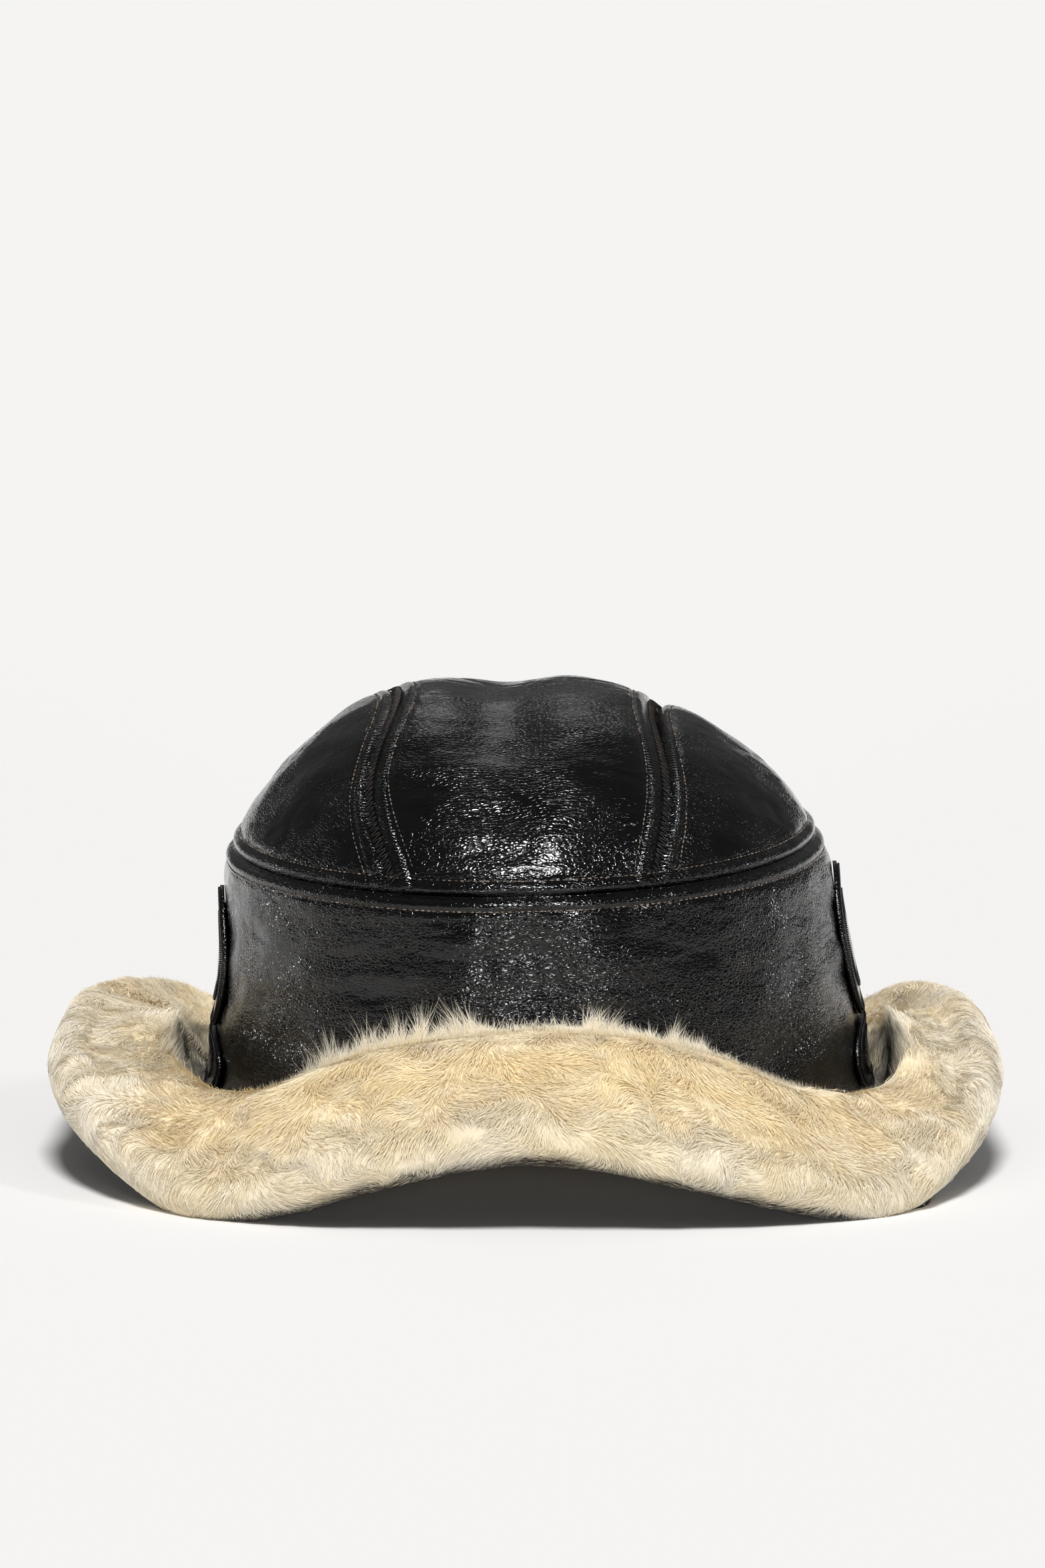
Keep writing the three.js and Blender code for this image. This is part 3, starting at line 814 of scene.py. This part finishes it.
def pile_length(angle, share):
    beside = lobe_share(angle)
    grown = np.clip((share - LOBE_FILL["trough"] * beside) / PILE_FULL_FROM, 0, 1)
    rise = np.clip((share - LOBE_FILL["from"]) / (LOBE_FILL["full"] - LOBE_FILL["from"]), 0, 1)
    fill = LOBE_FILL["length"] * beside * rise**2 * (3 - 2 * rise) * (1 - share**5)
    return blend_by(np.sin(grown * math.pi / 2), BRIM_ROOT_PILE, BRIM_PILE) + fill


def pile_point(angle, along, fullness):
    """Point in the wool: along is 0 at the seam, 1 at the cut edge and more round the nose"""
    turn = np.clip((along - 1) / NOSE_SHARE, 0, 1) * NOSE_TURN
    share = np.clip(along, 0, 1)
    length = np.where(along > 1, column(NOSE_PILE, "length", turn), pile_length(angle, share)) * fullness
    lean = np.radians(turn)
    return brim_point(angle, share, BRIM_HIDE / 2 + length * np.cos(lean), length * np.sin(lean))


LUMP_LEVEL = 0.9  # where in the wool's depth its lumps and swirls are worked out


def brim_lumps(angle, along):
    """How the wool's surface rises and falls in soft locks"""
    points = pile_point(angle, along, LUMP_LEVEL + 0 * angle)
    large = drift(points, (13, 13, 11), 21)
    small = drift(points, (5.5, 5.5, 5), 22)
    return 1 + 0.035 * large + 0.018 * small


BRIM_HIDE_ROWS = {"under": 20, "edge": 2, "top": 8, "seam": 2}
BRIM_HIDE_RISE = 1.6  # from its lower face to its upper one, in the wool
# Where the cut edge of the skin reaches out farthest under the wool
BARE_EDGES = [{"angle": -41, "reach": 7}, {"angle": 44, "reach": 7}]
BARE_LENGTH = 9


def brim_hide():
    """Skin of the brim, with its cut edge"""
    under, edge, top, seam = BRIM_HIDE_ROWS.values()
    total = sum(BRIM_HIDE_ROWS.values())

    def place(across, along):
        angle = -180 + 360 * across
        row = along * total
        out = np.clip(row / under, 0, 1)
        back = np.clip((row - under - edge) / top, 0, 1)
        up = np.clip((row - under) / edge, 0, 1) - np.clip((row - total + seam) / seam, 0, 1)
        share = out - back
        above = -BRIM_HIDE / 2 + BRIM_HIDE_RISE * up
        points = brim_point(angle, share, above)
        relief = 0.35 * drift(points, (12, 12, 8), 31) * (1 - up)
        bare = sum(BARE_LENGTH * bell(angle - spot["angle"], spot["reach"]) for spot in BARE_EDGES)
        past = (0.4 * drift(points, (9, 9, 9), 32) + bare) * np.clip((share - 0.96) / 0.04, 0, 1)
        return brim_point(angle, share, above - np.abs(relief) * (share < 0.98), past)

    bm = grid_mesh(CELLS_ROUND["brim_hide"], total, place)
    row_layer = bm.verts.layers.float["along"]
    for face in bm.faces:
        row = sum(corner[row_layer] for corner in face.verts) / len(face.verts) * total
        face.material_index = 1 if under < row < under + edge else 0
    weld(bm)
    piece = finish_mesh(bm, "brim_hide", [NAPPA, RAW_EDGE])
    mark_far_from_seams(piece)
    return declare(piece, "black_leather", "brim")


BODY_FULLNESS = 0.935  # of the wool under the tips, where the tips' is 1
# Painted shade: the wool body under the tips is mixed a little towards the roots' darker, yellower colour
BODY_SHADED_BRIGHTNESS = 0.88


def wool_tone(points, angle, along):
    """How yellow the wool is: more on the brim's upper face, less where it hangs over the edge"""
    upper = bell(along - 0.45, 0.45)
    front = bell(angle, 60)
    patchy = 0.07 * drift(points, (20, 20, 14), 41) + 0.05 * drift(points, (6, 6, 5), 42)
    return np.clip(0.25 + 0.5 * upper * (0.5 + 0.5 * front) - 0.25 * lobe_share(angle) + patchy, 0, 1)


def wool_dye_and_shade(angle, along):
    """Black dyestuff that crept up the wool along the lower front edge, and painted shade: deep in the
    troughs between the crown and the lobes beside the band, and light over the lower front
    """
    low = np.clip((along - 1 - 0.31 * NOSE_SHARE) / (0.14 * NOSE_SHARE), 0, 1)
    in_front = np.clip((41 - np.abs(angle)) / 6, 0, 1)
    # Painted shade in the troughs between the lobes and the crown
    trough = 0.95 * bell(along**2, 0.37**2) * bell(np.abs(angle) - 98, 20)
    shade_beside_band = np.maximum(0.75 * bell(along, 0.1) * lobe_share(angle), trough)
    # Painted shade that darkens the lower front of the wool
    low_front_shade = 0.17 * np.clip((along - 0.6) / 0.4, 0, 1) * bell(angle, 75)
    return low * in_front + shade_beside_band + low_front_shade


def brim_body():
    """Dense wool under the tips"""
    outer_rows = 56
    inner_rows = 4
    total = outer_rows + inner_rows

    def place(across, along):
        angle = -180 + 360 * across
        row = along * total
        over = np.clip(row / outer_rows, 0, 1) * (1 + NOSE_SHARE)
        back = np.clip((row - outer_rows) / inner_rows, 0, 1)
        fullness = BODY_FULLNESS * brim_lumps(angle, over)
        outer = pile_point(angle, over, fullness)
        inner = brim_point(angle, 1 - back, 0 * angle + 0.7)
        return np.where((row > outer_rows)[:, None], inner, outer)

    bm = grid_mesh(CELLS_ROUND["brim_body"], total, place)
    weld(bm)
    piece = finish_mesh(bm, "brim_wool_body", [WOOL])
    across, row_share = grid_places(piece)
    angle = -180 + 360 * across
    over = np.clip(row_share * total / outer_rows, 0, 1) * (1 + NOSE_SHARE)
    marks = stack(wool_tone(mesh_points(piece), angle, over), BODY_SHADED_BRIGHTNESS, wool_dye_and_shade(angle, over))
    set_point_values(piece, "wool_marks", marks)
    return declare(piece, "cream_sheepskin", "brim")


# Real wool is about 0.03 mm thick. A fibre here stands for a small bunch, as coarse as it needs to be to
# show: a ribbon that tapers to its tip, with a face of four corners and one of three. Its tone is even,
# and from its root to its tip it grows brighter, a painted shade of the deeper pile over the roots' yellower
# wool, and takes more of the wool's darkest colour, which is black dyestuff and painted shade.
RIBBON_CORNERS = 5
RIBBON_FACES = np.array([[0, 1, 3, 2, 2, 3, 4]])
RIBBON_STARTS = np.array([[0, 4]])
RIBBON_TAPER = 0.85
# How far each corner is from the root's colour: painted shade of the deeper pile, strongest at the root
RIBBON_SHADED_BRIGHTNESS = np.array([0.55, 0.55, 0.9, 0.9, 1.0])
# How much of the darkest colour each corner takes: black dyestuff and painted shade
RIBBON_DYE_AND_SHADE = np.array([0.3, 0.3, 0.8, 0.8, 1.0])
RIBBON_ROLL = 0.18


def ribbons(name, root, middle, tip, width, upward, marks):
    """Many fibres as one mesh"""
    count = len(root)
    run = unit(tip - root)
    side = unit(np.cross(run, upward))
    roll = np.random.default_rng(51).normal(0, RIBBON_ROLL, count)[:, None]
    side = np.cos(roll) * side + np.sin(roll) * np.cross(run, side)
    half = side * (width / 2)[:, None]
    waist = half * RIBBON_TAPER
    corners = np.stack([root - half, root + half, middle - waist, middle + waist, tip], axis=1)
    number = np.arange(count)[:, None]
    loops = (RIBBON_CORNERS * number + RIBBON_FACES).ravel()
    starts = (RIBBON_FACES.size * number + RIBBON_STARTS).ravel()
    mesh = bpy.data.meshes.new(name)
    mesh.vertices.add(RIBBON_CORNERS * count)
    mesh.loops.add(len(loops))
    mesh.polygons.add(len(starts))
    mesh.vertices.foreach_set("co", (corners * MM).astype(np.float32).ravel())
    mesh.loops.foreach_set("vertex_index", loops.astype(np.int32))
    mesh.polygons.foreach_set("loop_start", starts.astype(np.int32))
    mesh.update(calc_edges=True)
    piece = make_piece(name, mesh, [WOOL])
    tone = np.repeat(marks[:, 0], RIBBON_CORNERS)
    # Painted shade towards the root, times each fibre's own brightness
    brightness = np.clip((marks[:, 1:2] * RIBBON_SHADED_BRIGHTNESS).ravel(), 0, 1)
    dye_and_shade = np.clip((marks[:, 2:3] * RIBBON_DYE_AND_SHADE).ravel(), 0, 1)
    set_point_values(piece, "wool_marks", stack(tone, brightness, dye_and_shade))
    return declare(piece, "cream_sheepskin", "brim")


def brightness_of(draw, count, spread):
    """Each fibre's own brightness"""
    return np.clip(draw.normal(1, spread, count), 0.6, 1.3)


CLUMP_SIZE = {"angle": 1.7, "along": 0.055}


def clump_pull(angle, along, draw_table):
    """Steps from each fibre's place to the middle of its clump"""
    column_index = np.floor(angle / CLUMP_SIZE["angle"]).astype(int)
    row_index = np.floor(along / CLUMP_SIZE["along"]).astype(int)
    # Two primes scatter neighbouring clumps over the table
    pick = (column_index * 7919 + row_index * 104729) % len(draw_table)
    jitter = draw_table[pick]
    middle_angle = (column_index + 0.5 + 0.35 * jitter[:, 0]) * CLUMP_SIZE["angle"]
    middle_along = (row_index + 0.5 + 0.35 * jitter[:, 1]) * CLUMP_SIZE["along"]
    return middle_angle - angle, middle_along - along


# How far the fibres' tips lie over, outwards in shares of the brim and round it in degrees: all of them
# the way that the wool swirls, each a little at random, and part of the way to the middle of its clump
LEAN = {"share": 0.08, "degrees": 1.9}
LOOSE = {"share": 0.011, "degrees": 0.26}
CLUMP_PULL = 0.2
NEAR_SEAM = {"share": 0.07, "to": 0.06}  # more fibres stand there, over the crest
LONG_FIBRES = {"share": 0.03, "least": 1.02, "most": 1.1}


def brim_fibres(index, start, end, count):
    """Wool of one stretch of the brim, from one angle to another"""
    draw = np.random.default_rng(100 + index)
    angle = draw.uniform(start, end, count)
    along = draw.uniform(0, 1 + NOSE_SHARE, count)
    near_seam = draw.random(count) < NEAR_SEAM["share"]
    along = np.where(near_seam, draw.uniform(0, NEAR_SEAM["to"], count), along)
    jitters = np.random.default_rng(7).uniform(-1, 1, (4096, 2))
    to_angle, to_along = clump_pull(angle, along, jitters)
    here = pile_point(angle, along, LUMP_LEVEL + 0 * angle)
    swirl = 0.75 * drift(here, (24, 24, 18), 61) + 0.4 * drift(here, (9, 9, 8), 62)
    free = np.clip(0.2 + along / 0.12, 0, 1)
    side = free * LEAN["degrees"] * np.sin(swirl) + CLUMP_PULL * to_angle
    side = side + draw.normal(0, LOOSE["degrees"], count)
    out = free * LEAN["share"] * np.cos(swirl) + CLUMP_PULL * to_along
    out = out + draw.normal(0, LOOSE["share"], count)
    lumps = brim_lumps(angle, along)
    reach = draw.uniform(0.98, 1.025, count) * (0.4 + 0.6 * lumps)
    is_long = draw.random(count) < LONG_FIBRES["share"]
    longer = reach * draw.uniform(LONG_FIBRES["least"], LONG_FIBRES["most"], count)
    reach = np.where(is_long, longer, reach)
    limit = 1 + NOSE_SHARE
    root = pile_point(angle, along, BODY_FULLNESS * lumps * 0.97)
    middle = pile_point(angle + 0.4 * side, np.clip(along + 0.4 * out, 0, limit), reach * 0.975)
    tip = pile_point(angle + side, np.clip(along + out, 0, limit), reach)
    square = unit(tip - pile_point(angle + side, np.clip(along + out, 0, limit), reach * 0.5))
    marks = stack(
        np.clip(wool_tone(here, angle, along) + draw.normal(0, 0.07, count), 0, 1),
        brightness_of(draw, count, 0.08),
        wool_dye_and_shade(angle, along) * draw.uniform(0.7, 1.3, count),
    )
    width = draw.uniform(0.2, 0.36, count)
    ribbons(f"brim_wool_{index:02d}", root, middle, tip, width, square, marks)


BRIM_STRETCHES = 8
FIBRES_A_STRETCH = {"front": 27000, "back": 17000}

# Wool that flicks up over the band: fibres from one angle to another, and how long they are
FRINGES = {
    "all_round": {"start": -180, "end": 180, "count": 12000, "short": 1, "long": 5, "wispy": False},
    "left_tufts": {"start": -46, "end": -7, "count": 4200, "short": 2, "long": 12, "wispy": True},
    "right_tufts": {"start": 4, "end": 34, "count": 3000, "short": 2, "long": 9.5, "wispy": True},
}

# Wool that stands up along the crest in front of that, over the gap behind the crest, and a share of it
# on the inner edges of the two lobes
CREST = {"count": 15000, "to": 0.2, "short": 0.8, "long": 2.6}
LOBE_EDGE = {"share": 0.34, "start": 66, "end": 114, "from": 0.26, "to": 0.6, "short": 1.5, "long": 6}


def crest_fringe():
    """Short wool along the crest of the brim and on the lobes' inner edges"""
    draw = np.random.default_rng(350)
    count = CREST["count"]
    angle = draw.uniform(-180, 180, count)
    angle = np.where(draw.random(count) < 0.4, draw.uniform(-60, 60, count), angle)
    along = CREST["to"] * draw.random(count) ** 2
    on_lobe = draw.random(count) < LOBE_EDGE["share"]
    lobe_angle = draw.choice([-1, 1], count) * draw.uniform(LOBE_EDGE["start"], LOBE_EDGE["end"], count)
    angle = np.where(on_lobe, lobe_angle, angle)
    along = np.where(on_lobe, draw.uniform(LOBE_EDGE["from"], LOBE_EDGE["to"], count), along)
    lumps = brim_lumps(angle, along)
    root = pile_point(angle, along, 0.85 * lumps)
    top = pile_point(angle, along, lumps)
    square = band_square(angle, top[:, 2])
    inward = np.where(on_lobe, 0.85, 0.35)[:, None]
    lift = unit(unit(top - root) + [0, 0, 0.7] - inward * square + draw.normal(0, 0.22, (count, 3)))
    shortest = np.where(on_lobe, LOBE_EDGE["short"], CREST["short"])
    longest = np.where(on_lobe, LOBE_EDGE["long"], CREST["long"])
    length = blend_by(draw.random(count) ** 1.6, shortest, longest)
    tip = top + lift * length[:, None]
    middle = 0.35 * root + 0.65 * top + 0.1 * length[:, None] * square
    tone = np.clip(wool_tone(top, angle, along) - 0.1 + draw.normal(0, 0.07, count), 0, 1)
    marks = stack(tone, brightness_of(draw, count, 0.08), wool_dye_and_shade(angle, along))
    width = draw.uniform(0.1, 0.22, count)
    ribbons("seam_wool_crest", root, middle, tip, width, square, marks)


def seam_fringe(name, index):
    """Loose wool along the brim's seam, lying up against the band"""
    fringe = FRINGES[name]
    draw = np.random.default_rng(300 + index)
    count = fringe["count"]
    angle = draw.uniform(fringe["start"], fringe["end"], count)
    along = draw.uniform(0, 0.05 if fringe["wispy"] else 0.1, count)
    lean = draw.normal(0, 0.8, count)
    length = blend_by(draw.random(count) ** 2.2, fringe["short"], fringe["long"])
    if fringe["wispy"]:
        place = stack(1.9 * angle, 0 * angle, 0 * angle)
        bunch = drift(place, 2.6, 71)
        length = length * np.clip(0.72 + 0.34 * bunch, 0.2, 1.25)
        lean = np.sign(angle) * (1.3 + 0.6 * drift(place, 5, 72)) + draw.normal(0, 1.3, count)
        lean = lean * length / 9
        ends = np.minimum(angle - fringe["start"], fringe["end"] - angle)
        length = np.maximum(length * np.clip(ends / 4, 0.25, 1), 1)
    lumps = brim_lumps(angle, along)
    root = pile_point(angle, along, 0.75 * lumps)
    top = pile_point(angle, along, lumps)
    rise = top[:, 2]
    off_band = draw.uniform(0.7, 5 if fringe["wispy"] else 6, count)
    length = length * np.clip(1.2 - off_band / 7, 0.3, 1)
    middle = band_point(angle + 0.35 * lean, rise + 0.45 * length, off_band + 0.9)
    tip = band_point(angle + lean, rise + length, off_band)
    square = band_square(angle, rise)
    tone = np.clip(draw.normal(0.1, 0.08, count), 0, 1)
    marks = stack(tone, brightness_of(draw, count, 0.1), wool_dye_and_shade(angle, along))
    width = draw.uniform(0.06, 0.14, count)
    ribbons(f"seam_wool_{name}", root, middle, tip, width, square, marks)


# Seams, with their stitches' length, width and height

CROSS_STITCH = (2 * LADDER_HALF_WIDTH + 0.3, 0.42, 0.4)
CROSS_PITCH = 1.15
CROSS_LIFT = 0.3  # of a stitch's middle over the hide
CROSS_TILT = 0.18  # each stitch slants the other way from the one before it
ROW_STITCH = (1.45, 0.5, 0.45)
ROW_PITCH = 2.0
ROW_LIFT = 0.16


def stitch_shape(length, width, height):
    """One stitch: a small rounded bar, along x"""
    bm = bmesh.new()
    bmesh.ops.create_uvsphere(bm, u_segments=5, v_segments=3, radius=0.5)
    points = np.array([corner.co[:] for corner in bm.verts])
    faces = [[corner.index for corner in face.verts] for face in bm.faces]
    bm.free()
    points = points[:, [2, 0, 1]]
    points[:, 0] = np.sign(points[:, 0]) * np.abs(points[:, 0] * 2) ** 0.7 / 2
    return points * [length, width, height], faces


def stitches(name, centres, along, upward, size, material, slot, node):
    """Many equal stitches as one mesh"""
    points, faces = stitch_shape(*size)
    across = unit(np.cross(upward, along))
    upward = np.cross(along, across)
    turned = (
        centres[:, None, :]
        + points[None, :, 0:1] * along[:, None, :]
        + points[None, :, 1:2] * across[:, None, :]
        + points[None, :, 2:3] * upward[:, None, :]
    )
    count = len(points)
    all_faces = [[corner + count * i for corner in face] for i in range(len(centres)) for face in faces]
    mesh = bpy.data.meshes.new(name)
    mesh.from_pydata((turned.reshape(-1, 3) * MM).tolist(), [], all_faces)
    return declare(make_piece(name, mesh, [material]), slot, node)


def paced(points, upward, pitch, end=0.0):
    """Evenly spaced places along a line of points but for its ends, with the line's direction there"""
    steps = np.linalg.norm(np.diff(points, axis=0), axis=1)
    length = np.concatenate([[0], np.cumsum(steps)])
    places = np.arange(end + pitch / 2, length[-1] - end, pitch)

    def values_at(at, values):
        return stack(*(np.interp(at, length, values[:, i]) for i in range(3)))

    run = unit(values_at(places + 0.5, points) - values_at(places - 0.5, points))
    return values_at(places, points), run, unit(values_at(places, upward))


def stitch_row(name, row, upward, node, end=0.0):
    """A row of single stitches along a line of points"""
    spots, along, ups = paced(row, upward, ROW_PITCH, end)
    stitches(name, spots, along, ups, ROW_STITCH, SEAM_THREAD, "black_leather", node)


def long_seam(name):
    """Threads of one of the tip's two long seams"""
    sign = -1 if name == "left" else 1
    share = np.linspace(0.012, 0.988, 1500)
    place = spread(share)
    middle = seam_plan(panel_seam(name, place), place)
    square = tip_square(middle)
    sides = {"centre": -sign, name: sign}
    edges = []
    for part, offset in sides.items():
        beside = middle + [offset * LADDER_HALF_WIDTH, 0]
        distance = LADDER_HALF_WIDTH + 0 * share
        edges.append(panel_surface(beside, distance, panel_sink(part, beside), CROSS_LIFT, ripples=False))
    spots, along, ups = paced((edges[0] + edges[1]) / 2, square, CROSS_PITCH, 2)
    slant = unit(edges[1] - edges[0])
    nearest = np.linspace(0, len(share) - 1, len(spots)).astype(int)
    tilt = CROSS_TILT * np.where(np.arange(len(spots)) % 2 == 0, 1, -1)[:, None]
    across = unit(slant[nearest] + tilt * along)
    piece_name = f"{name}_seam_cross_stitches"
    stitches(piece_name, spots, across, ups, CROSS_STITCH, CROSS_THREAD, "black_leather", "centre_panel")
    for part, offset in sides.items():
        plan = middle + [offset * TOPSTITCH_OFFSET, 0]
        plan = plan[tip_share(plan) < 0.995]
        distance = TOPSTITCH_OFFSET + 0 * plan[:, 0]
        row = panel_surface(plan, distance, panel_sink(part, plan), ROW_LIFT)
        stitch_row(f"{name}_seam_row_{part}", row, tip_square(plan), f"{part}_panel", 3)


def rim_rows():
    """Rows of stitches above and below the seam round the tip"""
    angle = np.linspace(-180, 180, 2600)
    turn = np.radians(angle)
    rim = stack(TIP_HALF_WIDTH * np.sin(turn), -TIP_HALF_DEPTH * np.cos(turn))
    shares = np.linspace(1, 0.9, 41)
    ladder = np.stack([rim_distance(rim * share) for share in shares])
    reach = np.array([np.interp(RIM_TOPSTITCH["tip"], ladder[:, i], shares) for i in range(len(angle))])
    plan = rim * reach[:, None]
    row = panel_surface(plan, FAR_FROM_SEAMS + 0 * angle, 0, ROW_LIFT)
    stitch_row("tip_rim_row", row, tip_square(plan), "centre_panel")
    below = RIM_TOPSTITCH["band"]
    height = tip_seam_height(angle) - below
    points = band_point(angle, height, 0 * angle)
    relief = rim_relief(below, below) + hide_ripples(points) * calmed(below)
    row = band_point(angle, height, relief + ROW_LIFT)
    stitch_row("band_rim_row", row, band_square(angle, height), "side_band")


# Patches


def squared(value):
    return np.sign(value) * np.abs(value) ** PATCH_SQUARENESS


def patch_point(shape, share, turn, out):
    up = squared(np.sin(turn))
    narrow = 1 - shape["taper"] * np.maximum(up, 0) ** 1.5
    aside = np.degrees(shape["half_width"] * share * squared(np.cos(turn)) * narrow / TIP_HALF_DEPTH)
    angle = shape["side"] * (90 + aside)
    return band_point(angle, shape["middle"] + shape["half_height"] * share * up, out)


def patch_relief(share):
    """Padded middle, a corded border and an inner raised outline"""
    border = 0.45 * bell(share - 0.94, 0.04)
    inner = 0.3 * bell(share - 0.62, 0.035)
    return 1.15 + border + inner + 0.3 * bell(share, 0.4)


PATCH_ROWS = {"top": 32, "edge": 2, "back": 2}
PATCH_CORDS = {
    "border": {"share": 0.94, "width": 1.7},
    "outline": {"share": 0.62, "width": 1.3},
}
SATIN_STITCH = {"pitch": 0.7, "along": 0.62, "high": 0.7, "lift": 0.05}


def patch_body(name, shape):
    """Leather of one patch"""
    top_rows, edge_rows, back_rows = PATCH_ROWS.values()
    total = sum(PATCH_ROWS.values())

    def place(across, along):
        turn = 2 * math.pi * across
        row = along * total
        share = np.clip(row / top_rows, 0, 1) - np.clip((row - top_rows - edge_rows) / back_rows, 0, 1)
        down = np.clip((row - top_rows) / edge_rows, 0, 1)
        top = PATCH_OFFSET + patch_relief(share)
        return patch_point(shape, share, turn, blend_by(down, top, PATCH_OFFSET))

    bm = grid_mesh(CELLS_ROUND["patch"], total, place)
    weld(bm)
    piece = finish_mesh(bm, f"{name}_leather", [PATCH_NAPPA])
    mark_far_from_seams(piece)
    return declare(piece, "patch_leather", name)


def patch_cords(name, shape):
    """Satin stitches laid across the border and the inner outline"""
    turn = np.linspace(0, 2 * math.pi, 1400)
    upward = band_square(shape["side"] * 90 + 0 * turn, shape["middle"] + 0 * turn)
    for label, cord in PATCH_CORDS.items():
        ring = cord["share"] + 0 * turn
        out = PATCH_OFFSET + patch_relief(ring) + SATIN_STITCH["lift"]
        spots, along, ups = paced(patch_point(shape, ring, turn, out), upward, SATIN_STITCH["pitch"])
        across = unit(np.cross(ups, along))
        size = (cord["width"], SATIN_STITCH["along"], SATIN_STITCH["high"])
        stitches(f"{name}_{label}", spots, across, ups, size, BLACK_THREAD, "patch_leather", name)


# Studio, in metres

FLOOR_SIZE = 14.0
FRAME_HEIGHT = 0.4941  # of the picture, at the hat
CAMERA_DISTANCE = 6.0
CAMERA_ELEVATION = 9
CAMERA_AIM = Vector((-0.0006, 0, 0.1152))
SENSOR = 36.0  # millimetres

# Far soft lights: where each one stands, how wide it is in degrees, and its power
LAMPS = {
    "key": {"turn": 0, "elevation": 61, "angle": 15, "power": 2.8},
    "back": {"turn": 180, "elevation": 36, "angle": 22, "power": 0.085},
    "front_left": {"turn": -16, "elevation": 6, "angle": 9, "power": 0.42},
    "front_right": {"turn": 16, "elevation": 6, "angle": 9, "power": 0.42},
    "side_left": {"turn": -116, "elevation": 4, "angle": 5, "power": 0.13},
    "side_right": {"turn": 114, "elevation": 6, "angle": 5, "power": 0.08},
    "high_right": {"turn": 66, "elevation": 44, "angle": 7, "power": 0.3},
}


def make_floor():
    material, tree = new_material("Pale studio paper")
    tooth = soft_pattern(tree, (1.5, 1.5, 1.5))
    shades = {"_6": linear("#f6f5f4"), "_7": linear("#f9f8f7")}
    colour = add(tree, "ShaderNodeMix", COLOURS, _0=(tooth, "Fac"), **shades)
    look = {"Base_Color": (colour, 2), "Roughness": 0.9, "Specular_IOR_Level": 0.1}
    shader = add(tree, "ShaderNodeBsdfPrincipled", **look)
    add(tree, "ShaderNodeOutputMaterial", Surface=(shader, "BSDF"))
    bm = bmesh.new()
    bmesh.ops.create_grid(bm, x_segments=2, y_segments=2, size=FLOOR_SIZE)
    finish_mesh(bm, "studio_floor", [material])


def make_lamps():
    for name, lamp in LAMPS.items():
        data = bpy.data.lights.new(name, "SUN")
        data.energy = lamp["power"]
        data.angle = math.radians(lamp["angle"])
        light = bpy.data.objects.new(name, data)
        turn = math.radians(lamp["turn"])
        high = math.radians(lamp["elevation"])
        level = math.cos(high)
        source = Vector((math.sin(turn) * level, -math.cos(turn) * level, math.sin(high)))
        light.rotation_mode = "QUATERNION"
        light.rotation_quaternion = source.to_track_quat("Z", "Y")
        bpy.context.scene.collection.objects.link(light)


def make_world():
    world = bpy.data.worlds.new("studio")
    world.use_nodes = True
    tree = world.node_tree
    tree.nodes.clear()
    sky = add(tree, "ShaderNodeBackground", Color=linear("#ffffff"), Strength=0.1)
    add(tree, "ShaderNodeOutputWorld", Surface=(sky, "Background"))
    bpy.context.scene.world = world


def make_camera():
    data = bpy.data.cameras.new("camera")
    data.sensor_fit = "VERTICAL"
    data.sensor_height = SENSOR
    data.lens = SENSOR * CAMERA_DISTANCE / FRAME_HEIGHT
    data.clip_end = 60
    camera = bpy.data.objects.new("camera", data)
    high = math.radians(CAMERA_ELEVATION)
    back = Vector((0, -math.cos(high), math.sin(high)))
    camera.location = CAMERA_AIM + back * CAMERA_DISTANCE
    camera.rotation_mode = "QUATERNION"
    camera.rotation_quaternion = back.to_track_quat("Z", "Y")
    bpy.context.scene.collection.objects.link(camera)
    bpy.context.scene.camera = camera


def make_hat():
    centre_hide()
    panel_fleece("centre")
    for name in ("left", "right"):
        side_hide(name)
        panel_fleece(name)
        long_seam(name)
    rim_rows()
    band_hide()
    band_fleece()
    brim_hide()
    brim_body()
    width = 360 / BRIM_STRETCHES
    for index in range(BRIM_STRETCHES):
        start = -180 + index * width
        side = "front" if abs(start + width / 2) < 90 else "back"
        brim_fibres(index, start, start + width, FIBRES_A_STRETCH[side])
    for index, name in enumerate(FRINGES):
        seam_fringe(name, index)
    crest_fringe()
    for name, shape in PATCHES.items():
        patch_body(name, shape)
        patch_cords(name, shape)


make_floor()
make_lamps()
make_world()
make_camera()
make_hat()
bpy.context.scene.view_settings.view_transform = "Standard"
